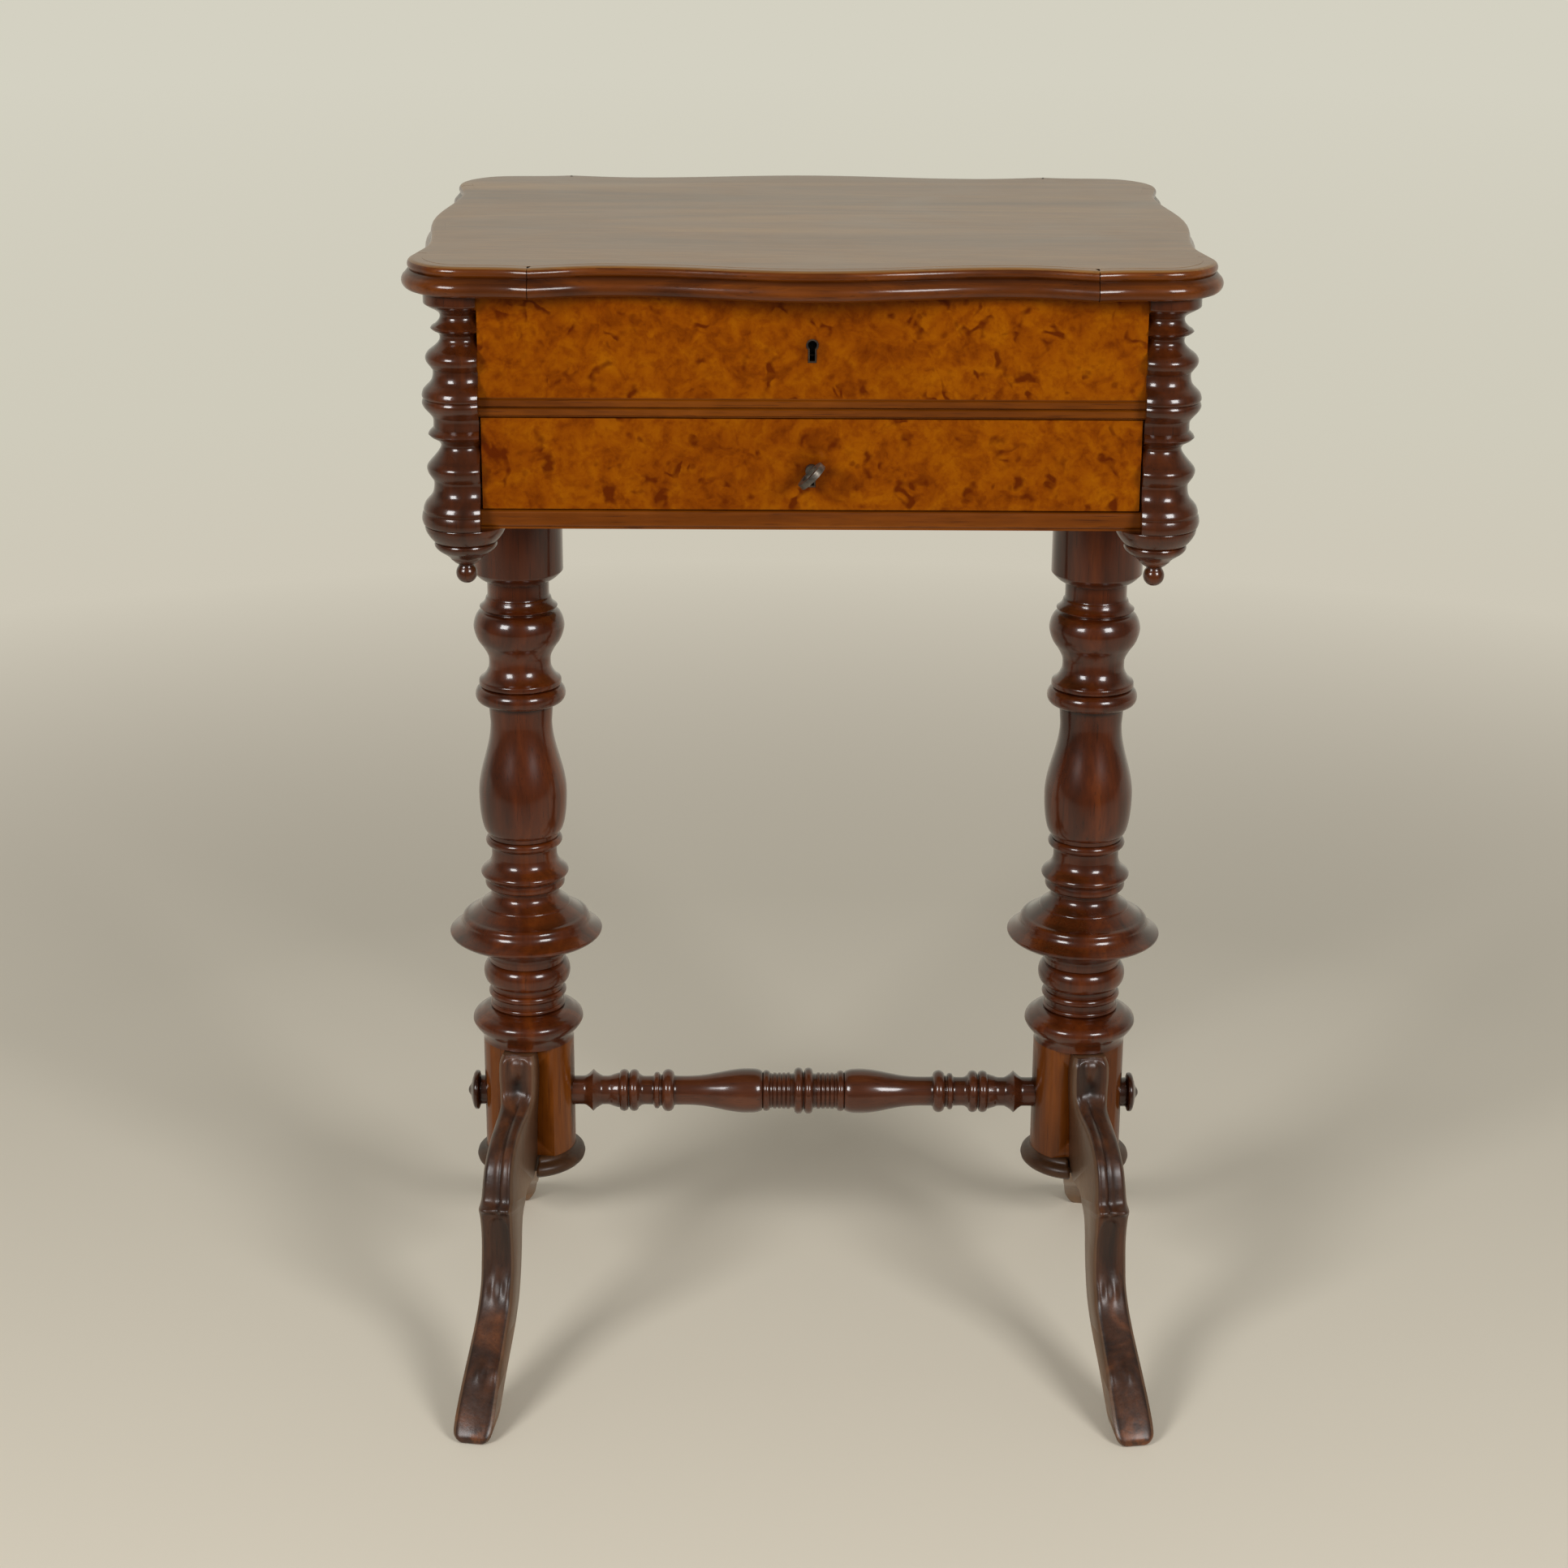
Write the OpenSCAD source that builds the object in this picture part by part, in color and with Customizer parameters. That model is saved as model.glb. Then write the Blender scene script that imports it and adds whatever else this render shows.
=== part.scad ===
// Sewing and work table: a moulded serpentine lid over a fitted well, one drawer with
// its lock and key, four turned corner columns with pendants, and two turned pillars on
// carved splayed legs, tied by a turned stretcher.
// Millimetres, +Z up, the front faces -Y, and the origin is on the floor below the middle.

/* [Table] */
// Height of the lid's upper face above the floor
table_h = 740; // [715:1:775]
// Distance from the case's side in to each pillar's axis
pillar_in = 26; // [24.5:0.5:29.5]

/* [Lid] */
// Width over the edge mouldings at the middle of the sides
lid_w = 462; // [420:1:510]
// Depth over the edge mouldings at the middle of the front and back
lid_d = 397; // [360:1:435]
// Thickness of the lid
lid_t = 17.5; // [16.5:0.5:20]
// Width of the applied edge moulding
edge_w = 12; // [11.5:0.25:12.5]
// How far the lid's middle lies behind the middle of the table
lid_back = 3; // [2:0.25:4]
// How far the front edge draws in on each side of its middle
front_recess = 16; // [8:0.5:18]
// How far the back edge draws in on each side of its middle
back_recess = 13; // [6:0.5:14]
// How far the short edges draw in on each side of their middle
short_recess = 7; // [3:0.5:9]
// Length of a corner piece of the moulding along a long edge
corner_run_x = 74.5; // [70:0.5:80]
// Length of a corner piece of the moulding along a short edge
corner_run_y = 64; // [60:0.5:70]
// Gap between the closed lid and the case
lid_gap = 0.3; // [0.2:0.05:0.5]

/* [Case] */
// How far the lid's moulding stands out past each side board
side_overhang = 23.5; // [21:0.5:25]
// How far it stands out past the front and back boards, on average
end_overhang = 30.5; // [28.5:0.5:32.5]
// Size of the square corner rebate that holds a turned corner column
rebate = 21; // [20:0.5:22]
// Thickness of the side, front and back boards
board_t = 12; // [11:0.5:14]
// Height of the fixed upper front panel
front_panel_h = 57.3; // [52:0.1:62]
// Height of the double-reeded rail between the panel and the drawer
mid_rail_h = 10.8; // [10.4:0.2:14]
// Height of the drawer front
drawer_front_h = 52; // [50:0.5:60]
// Height of the bottom rail and of the bottom board behind it
bottom_rail_h = 10.8; // [10:0.2:14]
// Gap above, below and at each end of the drawer front
drawer_gap = 0.8; // [0.5:0.1:1.2]
// Radius of the two reeds on the middle rail
reed_r = 2.3; // [1.8:0.1:2.5]
// How far the rails stand proud of the panels
rail_proud = 1.6; // [1:0.1:2.4]
// Thickness of the well's floor
well_floor_t = 7; // [6:0.5:8]
// Thickness of the dividers in the well
divider_t = 3; // [2.5:0.25:4]
// Height of the dividers in the well
divider_h = 38; // [30:1:44]
// Distance from the middle of the well to each cross divider
divider_x = 92; // [70:1:110]
// Inner width of a corner post along the front
post_w = 18; // [16:0.5:20]
// Inner depth of a corner post along the side
post_d = 22; // [18:0.5:26]

/* [Drawer] */
// Running clearance between the drawer and its guides
drawer_fit = 0.5; // [0.4:0.05:0.8]
// Height of the drawer's sides
drawer_side_h = 48; // [44:0.5:49]
// Thickness of the drawer's sides
drawer_side_t = 8; // [6:0.5:10]
// Room between the drawer's box and the back board
drawer_back_room = 16; // [12:1:42]
// Thickness of the drawer's bottom
drawer_bottom_t = 4; // [3:0.5:5]
// Height of the drawer's bottom above the lower edge of its sides
drawer_bottom_up = 4; // [3:0.5:6]

/* [Turned corner columns] */
// Largest radius of a corner column, at its low bulb
corner_r = 24.4; // [23.5:0.1:25]
// Radius of a corner column's capital
capital_r = 20; // [18:0.25:20]
// Length of the pendant below the case
pendant_h = 34.6; // [30:0.5:40]
// Radius of the ball that ends the pendant
ball_r = 6.1; // [5:0.1:7]

/* [Pillars] */
// Radius of a pillar's slim necks
neck_r = 19.4; // [18:0.1:20.5]
// Radius of the round block under the case
block_r = 28.5; // [26.5:0.25:29]
// Length of the round block under the case
block_h = 48.7; // [40:0.5:56]
// Radius of the upper bulb
bulb_r = 28.6; // [27:0.1:30]
// Radius of the cuff above the vase
cuff_r = 28.6; // [27:0.1:30]
// Radius of the vase at its belly
vase_r = 28.1; // [26:0.1:30]
// Radius of the double knop above the disc
knop_r = 28.2; // [27:0.1:30]
// Radius of the wide disc
disc_r = 48.6; // [46:0.2:50]
// Radius of the bead below the disc
bead_r = 27.8; // [26.5:0.1:29]
// Radius of the collar that caps the drum
collar_r = 36; // [35:0.2:37.5]
// Radius of the pins turned on both ends of a pillar
pin_r = 9; // [8:0.5:10]

/* [Drums] */
// Radius of a drum
drum_r = 29.6; // [28.5:0.2:30.5]
// Height of a drum
drum_h = 77; // [74:0.5:82]
// Thickness of the dark disc under a drum
base_t = 12; // [11:0.5:13]
// Radius of the dark disc under a drum
base_r = 35.8; // [34:0.2:37]
// Height of that disc above the floor
base_up = 115; // [112:0.5:118]
// Distance from a drum's axis to the flat bed of each leg
leg_bed = 21.2; // [20.6:0.1:24]

/* [Legs] */
// Angle by which each leg turns outward from straight ahead
leg_splay = 8.8; // [4:0.2:12]
// Distance from a drum's axis to the tip of a front toe
front_reach = 177.5; // [168:0.5:188]
// Distance from a drum's axis to the tip of a back toe
back_reach = 185; // [168:0.5:188]
// Width of a leg at its head
leg_w = 22; // [20:0.5:25]
// Width of a leg at its neck and knee
leg_neck = 19.5; // [18:0.5:22]
// Width of a leg at its toe
leg_toe_w = 28; // [24:0.5:30]
// Radius of the dowels that hold a leg
dowel_r = 4; // [3:0.25:4.5]

/* [Stretcher] */
// Height of the stretcher's axis above the floor
stretcher_z = 164; // [162:0.5:166]
// Largest radius of the stretcher, at its middle beads
stretcher_r = 15.4; // [14:0.1:17]
// Radius of the stretcher's tenons
tenon_r = 7; // [6:0.25:8]
// Radius of the turned buttons on the outer side of the drums
button_r = 13; // [11:0.25:15]

/* [Bearers and screws] */
// Width of the bearer under the case
bearer_w = 50; // [44:1:52]
// Length of the bearer from front to back
bearer_len = 170; // [140:2:180]
// Thickness of the bearer
bearer_t = 20; // [16:1:22]
// Radius of the wood screws' shanks
screw_r = 2; // [1.5:0.1:2.2]

/* [Hinges and locks] */
// Length of a hinge
hinge_len = 40; // [35:1:50]
// Distance from the middle of the back to each hinge
hinge_x = 118; // [100:1:130]
// Radius of the hinge knuckles
knuckle_r = 3; // [2.75:0.05:3.2]
// Radius of the hinge pins
hinge_pin_r = 1.3; // [1.1:0.05:1.6]
// How far the hinge pins stand behind the back board
hinge_proud = 3.5; // [3.4:0.05:4]
// Height of the upper keyhole's round part below the case's top
lid_key_drop = 27; // [23:0.5:29]
// Height of the lower keyhole's round part below the drawer front's top
drawer_key_drop = 29; // [28:0.5:31]
// Travel of each lock bolt
bolt_travel = 6; // [4:0.5:6.5]

/* [Hidden] */
$fn = 64;
glue = 0.1;            // clearance of a glued pin in its hole
edge_drop = 0.3;       // the moulding's underside lies this far above the lid's
lid_z = table_h - lid_t;
case_x = lid_w / 2 - side_overhang;
case_y = lid_d / 2 - end_overhang;
pillar_x = case_x - pillar_in;
case_top = lid_z - lid_gap;
case_h = front_panel_h + mid_rail_h + drawer_front_h + bottom_rail_h + 2 * drawer_gap;
case_z = case_top - case_h;
drawer_floor_z = case_z + bottom_rail_h;
drawer_front_z = drawer_floor_z + drawer_gap;
drawer_front_top = drawer_front_z + drawer_front_h;
mid_rail_z = drawer_front_top + drawer_gap;
front_panel_z = mid_rail_z + mid_rail_h;
well_floor_z = mid_rail_z + 0.8;
well_z = well_floor_z + well_floor_t;
corner_x = case_x - rebate / 2;
corner_y = case_y - rebate / 2;
rebate_x = case_x - rebate;
rebate_y = case_y - rebate;
inner_x = case_x - board_t;
inner_y = case_y - board_t;
drawer_len = 2 * inner_y - drawer_back_room;
post_x = rebate_x - post_w;
post_y = rebate_y - post_d;
bearer_z = case_z - bearer_t;
drum_z = base_up + base_t;
drum_top = drum_z + drum_h;
hinge_y = case_y + hinge_proud;
hinge_z = lid_z - lid_gap / 2;
timber = "#5c2f1a";
dark_timber = "#3a1d10";
burr = "#a8661c";
plain_wood = "#b98d5a";
brass = "#b08d3c";
steel = "#8f8f8a";

// Curves
function bead(z, r, h, d, n = 6) =
    [for (i = [0:n]) let (a = -90 + 180 * i / n) [r - d + d * cos(a), z + h / 2 * sin(a)]];
function curve_at(a, b, c, d, t) =
    0.5 * (2 * b + (c - a) * t + (2 * a - 5 * b + 4 * c - d) * t * t + (3 * b - a - 3 * c + d) * t * t * t);
function curve(pts, n) = concat(
    [for (i = [0:len(pts) - 2]) for (k = [0:n - 1])
        curve_at(pts[max(i - 1, 0)], pts[i], pts[i + 1], pts[min(i + 2, len(pts) - 1)], k / n)],
    [pts[len(pts) - 1]]);
function reversed(pts) = [for (i = [len(pts) - 1:-1:0]) pts[i]];

// Plan of the lid: a long or short edge swells at its middle, draws in, and meets the
// rounded corner piece at a blunt point
long_drop = 5;         // the joint on a long edge lies this far inside its middle
short_drop = 2.6;      // the joint on a short edge lies this far inside its middle
edge_steps = 8;
long_joint = lid_w / 2 - corner_run_x;
short_joint = lid_d / 2 - corner_run_y;
function swell(t, recess) = recess * (1 - cos(180 * t)) / 2;
function rise(t) = (t < 0.5 ? t * t : t - 0.25) / 0.75;
function half_edge(joint, recess, drop, waist) = concat(
    [for (i = [0:edge_steps]) [waist * i / edge_steps, swell(i / edge_steps, recess)]],
    [for (i = [1:4]) let (t = i / 4) [waist + (joint - waist) * t, recess - (recess - drop) * rise(t)]]);
function whole_edge(half) = concat([for (i = [len(half) - 1:-1:1]) [-half[i][0], half[i][1]]], half);
long_waist = long_joint - 45;
short_waist = short_joint - 36;
front_edge = whole_edge(half_edge(long_joint, front_recess, long_drop, long_waist));
back_edge = whole_edge(half_edge(long_joint, back_recess, long_drop, long_waist));
short_edge = whole_edge(half_edge(short_joint, short_recess, short_drop, short_waist));
lid_x = lid_w / 2;
lid_y = lid_d / 2;
corner_curve = curve([
    [long_joint, lid_y - long_drop], [lid_x - 66, lid_y - 7.2], [lid_x - 55, lid_y - 8.6],
    [lid_x - 43, lid_y - 8.9], [lid_x - 33, lid_y - 9.8], [lid_x - 24, lid_y - 12.4],
    [lid_x - 17, lid_y - 16.6], [lid_x - 11, lid_y - 23], [lid_x - 5.5, lid_y - 31.5],
    [lid_x - 1.8, lid_y - 42.5], [lid_x - 1, lid_y - 53], [lid_x - short_drop, short_joint]], 2);
front_plan = [for (p = front_edge) [p[0], -lid_y + p[1]]];
back_plan = [for (p = back_edge) [-p[0], lid_y - p[1]]];
right_plan = [for (p = short_edge) [lid_x - p[1], p[0]]];
left_plan = [for (p = short_edge) [-lid_x + p[1], -p[0]]];
front_right_plan = [for (p = corner_curve) [p[0], -p[1]]];
back_right_plan = reversed(corner_curve);
back_left_plan = [for (p = corner_curve) [-p[0], p[1]]];
front_left_plan = [for (p = reversed(corner_curve)) [-p[0], -p[1]]];
function open_end(pts) = [for (i = [0:len(pts) - 2]) pts[i]];
lid_plan = concat(open_end(front_plan), open_end(front_right_plan), open_end(right_plan),
    open_end(back_right_plan), open_end(back_plan), open_end(back_left_plan),
    open_end(left_plan), open_end(front_left_plan));
lid_outline = [for (p = lid_plan) [p[0], p[1] + lid_back]];
outline_n = len(lid_outline);
function outline_at(i) = lid_outline[(i + outline_n) % outline_n];
function unit(v) = v / norm(v);
function inward(i) =
    let (a = unit(outline_at(i) - outline_at(i - 1)), b = unit(outline_at(i + 1) - outline_at(i)),
        m = unit([-a[1] - b[1], a[0] + b[0]]))
    m / (m * [-b[1], b[0]]);
// Where each piece of the edge moulding starts in the outline
long_n = len(front_plan) - 1;
corner_n = len(corner_curve) - 1;
short_n = len(right_plan) - 1;

// Section of the edge moulding as [distance in from the outline, depth below the top]:
// a nosing below, a slanting hollow with a quirk, and a small roll set back above
nosing_r = 4.9;
roll_r = 3.2;
roll_in = 8.4;
edge_section = concat(
    [[edge_w, lid_t - edge_drop]],
    [for (i = [0:7]) let (a = -90 - 20.5 * i)
        [nosing_r + nosing_r * cos(a), lid_t - edge_drop - nosing_r - nosing_r * sin(a)]],
    [[3.2, 7.7], [4.6, 6.9], [5.9, 5.8]],
    [for (i = [0:4]) let (a = -128 - 35.5 * i) [roll_in + roll_r * cos(a), roll_r + 0.1 - roll_r * sin(a)]],
    [[edge_w, 0.1]]);

module edge_run(first, count) {
    n = len(edge_section);
    points = [for (k = [0:count]) for (s = edge_section)
        let (i = first + k, p = outline_at(i) + inward(i) * s[0]) [p[0], p[1], table_h - s[1]]];
    sides = [for (k = [0:count - 1]) for (j = [0:n - 1])
        let (a = k * n + j, b = k * n + (j + 1) % n)
        each [[a, b, a + n], [b, b + n, a + n]]];
    cap = [for (j = [n - 1:-1:0]) j];
    color(timber)
        polyhedron(points, concat(sides, [cap], [[for (j = cap) count * n + n - 1 - j]]), convexity = 6);
}

module lid_edge_front() { edge_run(0, long_n); }
module lid_corner_front_right() { edge_run(long_n, corner_n); }
module lid_edge_right() { edge_run(long_n + corner_n, short_n); }
module lid_corner_back_right() { edge_run(long_n + corner_n + short_n, corner_n); }
module lid_edge_back() { edge_run(long_n + 2 * corner_n + short_n, long_n); }
module lid_corner_back_left() { edge_run(2 * long_n + 2 * corner_n + short_n, corner_n); }
module lid_edge_left() { edge_run(2 * long_n + 3 * corner_n + short_n, short_n); }
module lid_corner_front_left() { edge_run(2 * long_n + 3 * corner_n + 2 * short_n, corner_n); }

// Lid board with its pockets for the hinges and the link plate
leaf_t = 1.6;
leaf_in = 10;          // how far a leaf reaches onto the board's edge
pocket = 0.1;          // clearance round a leaf in its pocket
knuckle_room = 0.6;    // clearance round the turning knuckles
link_len = 46;
link_w = 10;
link_t = 1.6;
lock_y = -case_y + 7.5;
module lid_panel() {
    color(timber) difference() {
        translate([0, 0, lid_z]) linear_extrude(lid_t)
            polygon([for (i = [0:outline_n - 1]) outline_at(i) + inward(i) * edge_w]);
        for (side = [-1, 1]) {
            translate([side * hinge_x - hinge_len / 2 - pocket, case_y - leaf_in - pocket, lid_z - 1])
                cube([hinge_len + 2 * pocket, leaf_in + hinge_proud + 2 * pocket, leaf_t + 1 + pocket]);
            translate([side * hinge_x - hinge_len / 2 - knuckle_room, case_y - 0.4, lid_z - 1])
                cube([hinge_len + 2 * knuckle_room, hinge_proud + knuckle_r + knuckle_room + 0.4,
                    knuckle_r + knuckle_room + 1]);
            for (x = [-1, 1])
                translate([side * hinge_x + x * leaf_screw_x, leaf_screw_y, lid_z])
                    cylinder(r = small_screw_r + 0.02, h = small_screw_len);
        }
        translate([-link_len / 2 - pocket, lock_y - link_w / 2 - pocket, lid_z - 1])
            cube([link_len + 2 * pocket, link_w + 2 * pocket, link_t + 1 + pocket]);
        for (x = [-1, 1])
            translate([x * link_screw_x, lock_y, lid_z])
                cylinder(r = small_screw_r + 0.02, h = small_screw_len);
    }
}

// Hinges: the case leaf carries three knuckles and the lid leaf two
small_screw_r = 1.2;
small_screw_len = 11;
small_head_r = 2.4;
leaf_screw_x = 13;
leaf_screw_y = case_y - leaf_in / 2 - 0.6;
link_screw_x = 19;
knuckle_gap = 0.2;
knuckle_len = hinge_len / 5;
module knuckle(slot) {
    translate([-hinge_len / 2 + knuckle_len * slot + knuckle_gap / 2, hinge_y, hinge_z])
        rotate([0, 90, 0]) cylinder(r = knuckle_r, h = knuckle_len - knuckle_gap);
}
// Cuts one leaf's plate back from the knuckles of the other leaf
module knuckle_clear(slot) {
    translate([-hinge_len / 2 + knuckle_len * slot - knuckle_gap / 2, case_y, hinge_z - knuckle_r - 1])
        cube([knuckle_len + knuckle_gap, hinge_proud + knuckle_r + 1, 2 * knuckle_r + 2]);
}
module pin_bore() {
    translate([-hinge_len / 2 - 1, hinge_y, hinge_z])
        rotate([0, 90, 0]) cylinder(r = hinge_pin_r + 0.05, h = hinge_len + 2);
}
module screw_hole(x, y, z, up) {
    translate([x, y, z]) mirror([0, 0, up ? 0 : 1]) {
        translate([0, 0, -0.01]) cylinder(r1 = small_head_r + 0.02, r2 = small_screw_r + 0.02, h = 1.32);
        cylinder(r = small_screw_r + 0.02, h = 4);
    }
}
module lid_hinge_leaves() {
    color(brass) for (side = [-1, 1]) translate([side * hinge_x, 0, 0]) difference() {
        union() {
            translate([-hinge_len / 2, case_y - leaf_in, lid_z])
                cube([hinge_len, leaf_in + hinge_proud, leaf_t]);
            for (slot = [1, 3]) knuckle(slot);
        }
        for (slot = [0, 2, 4]) knuckle_clear(slot);
        pin_bore();
        for (x = [-1, 1]) screw_hole(x * leaf_screw_x, leaf_screw_y, lid_z, true);
    }
}
module case_hinge_leaves() {
    color(brass) for (side = [-1, 1]) translate([side * hinge_x, 0, 0]) difference() {
        union() {
            translate([-hinge_len / 2, case_y - leaf_in, case_top - leaf_t])
                cube([hinge_len, leaf_in + hinge_proud, leaf_t]);
            for (slot = [0, 2, 4]) knuckle(slot);
        }
        for (slot = [1, 3]) knuckle_clear(slot);
        pin_bore();
    }
}
module hinge_pins() {
    color(steel) for (side = [-1, 1])
        translate([side * hinge_x - hinge_len / 2, hinge_y, hinge_z])
            rotate([0, 90, 0]) cylinder(r = hinge_pin_r, h = hinge_len);
}
module small_screw() {
    cylinder(r1 = small_head_r, r2 = small_screw_r, h = 1.3);
    cylinder(r = small_screw_r, h = small_screw_len - 1);
}
module lid_screws() {
    color(brass) {
        for (side = [-1, 1]) for (x = [-1, 1])
            translate([side * hinge_x + x * leaf_screw_x, leaf_screw_y, lid_z]) small_screw();
        for (x = [-1, 1]) translate([x * link_screw_x, lock_y, lid_z]) small_screw();
    }
}

// Link plate under the lid: two staples hang into the lid's lock
staple_t = 2;
staple_w = 6.6;
staple_h = 11;
staple_x = [-8, 10];
eye_w = 3.8;
eye_h = 4.2;
eye_z = lid_z - staple_h + 1.8;
module lid_link_plate() {
    color(brass) difference() {
        union() {
            translate([-link_len / 2, lock_y - link_w / 2, lid_z]) cube([link_len, link_w, link_t]);
            for (x = staple_x)
                translate([x, lock_y - staple_w / 2, lid_z - staple_h])
                    cube([staple_t, staple_w, staple_h + 0.5]);
        }
        for (x = staple_x)
            translate([x - 1, lock_y - eye_w / 2, eye_z]) cube([staple_t + 2, eye_w, eye_h]);
        for (x = [-1, 1]) screw_hole(x * link_screw_x, lock_y, lid_z, true);
    }
}

// Case boards
module side_board(side) {
    color(timber) translate([side > 0 ? inner_x : -case_x, -rebate_y, case_z])
        cube([board_t, 2 * rebate_y, case_h]);
}
module side_board_left() { side_board(-1); }
module side_board_right() { side_board(1); }
module back_board() {
    color(timber) difference() {
        translate([-rebate_x, inner_y, case_z]) cube([2 * rebate_x, board_t, case_h]);
        for (side = [-1, 1])
            translate([side * hinge_x - hinge_len / 2 - pocket, case_y - leaf_in - pocket,
                case_top - leaf_t - pocket])
                cube([hinge_len + 2 * pocket, leaf_in + 1, leaf_t + 1]);
    }
}
lock_len = 50;
lock_depth = 9;
lid_lock_h = 34;
lid_key_z = case_top - lid_key_drop;
module keyhole(z, grow) {
    translate([0, 0, z]) rotate([90, 0, 0]) cylinder(r = 2.6 + grow, h = 40, center = true);
    translate([-1.5 - grow, -20, z - 9 - grow]) cube([3 + 2 * grow, 40, 9 + grow]);
}
module front_panel() {
    color(burr) difference() {
        translate([-rebate_x, -case_y, front_panel_z]) cube([2 * rebate_x, board_t, front_panel_h]);
        translate([-lock_len / 2 - pocket, -inner_y - lock_depth - pocket, case_top - lid_lock_h - pocket])
            cube([lock_len + 2 * pocket, lock_depth + 1, lid_lock_h + 1]);
        translate([0, -case_y, 0]) keyhole(lid_key_z, 0.8 + glue);
    }
}
module reeded_rail(len) {
    translate([-len / 2, 0, 0]) rotate([90, 0, 90]) linear_extrude(len) union() {
        translate([0, 0]) square([board_t, mid_rail_h]);
        for (k = [-1, 1]) translate([0, mid_rail_h / 2 + k * (reed_r + 0.2)]) circle(r = reed_r);
    }
}
mortise_h = bolt_travel + 1;
module mid_rail() {
    color(timber) difference() {
        translate([0, -case_y, mid_rail_z]) intersection() {
            reeded_rail(2 * rebate_x);
            translate([-rebate_x, -rail_proud, 0]) cube([2 * rebate_x, board_t + rail_proud, mid_rail_h]);
        }
        translate([-bolt_w / 2 - 0.5, bolt_y - bolt_t / 2 - 0.5, mid_rail_z - 1])
            cube([bolt_w + 1, bolt_t + 1, mortise_h + 1]);
    }
}
module bottom_section(w) {
    union() {
        square([w, bottom_rail_h]);
        translate([0, 3]) circle(r = rail_proud);
        translate([-rail_proud, 3]) square([rail_proud, bottom_rail_h - 4.6]);
        translate([0, bottom_rail_h - rail_proud]) circle(r = rail_proud);
    }
}
module bottom_rail() {
    color(timber) translate([-rebate_x, -case_y, case_z])
        rotate([90, 0, 90]) linear_extrude(2 * rebate_x) intersection() {
            bottom_section(board_t);
            translate([-rail_proud, 0]) square([board_t + rail_proud, bottom_rail_h]);
        }
}
// Thin mouldings that carry the rails' lines along the two side boards
module side_mouldings() {
    color(timber) for (side = [-1, 1]) {
        translate([side * case_x, -rebate_y, case_z])
            mirror([side > 0 ? 1 : 0, 0, 0]) rotate([90, 0, 180]) mirror([1, 0, 0])
            linear_extrude(2 * rebate_y) intersection() {
                bottom_section(0.01);
                translate([-rail_proud, 0]) square([rail_proud, bottom_rail_h]);
            }
        for (k = [-1, 1])
            translate([side * case_x, -rebate_y, mid_rail_z + mid_rail_h / 2 + k * (reed_r + 0.2)])
                rotate([-90, 0, 0]) intersection() {
                    cylinder(r = reed_r, h = 2 * rebate_y);
                    translate([side > 0 ? 0 : -rail_proud, -reed_r, 0])
                        cube([rail_proud, 2 * reed_r, 2 * rebate_y]);
                }
    }
}
// Outline of a board that fills the case between its four posts
module cross_plan() {
    difference() {
        square([2 * inner_x, 2 * inner_y], center = true);
        for (x = [-1, 1]) for (y = [-1, 1])
            translate([x * (post_x + inner_x) / 2, y * (post_y + inner_y) / 2])
                square([inner_x - post_x, inner_y - post_y], center = true);
    }
}
module bottom_board() {
    color(plain_wood) difference() {
        translate([0, 0, case_z]) linear_extrude(bottom_rail_h) cross_plan();
        bearer_screw_holes();
    }
}
module well_floor() {
    color(plain_wood) translate([0, 0, well_floor_z]) linear_extrude(well_floor_t) cross_plan();
}
module post(x, y) {
    color(plain_wood) translate([0, 0, case_z]) mirror([x < 0 ? 1 : 0, 0, 0]) mirror([0, y < 0 ? 1 : 0, 0])
        linear_extrude(case_h)
            polygon([[post_x, post_y], [inner_x, post_y], [inner_x, rebate_y], [rebate_x, rebate_y],
                [rebate_x, inner_y], [post_x, inner_y]]);
}
module front_posts() { for (x = [-1, 1]) post(x, -1); }
module back_posts() { for (x = [-1, 1]) post(x, 1); }

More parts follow.
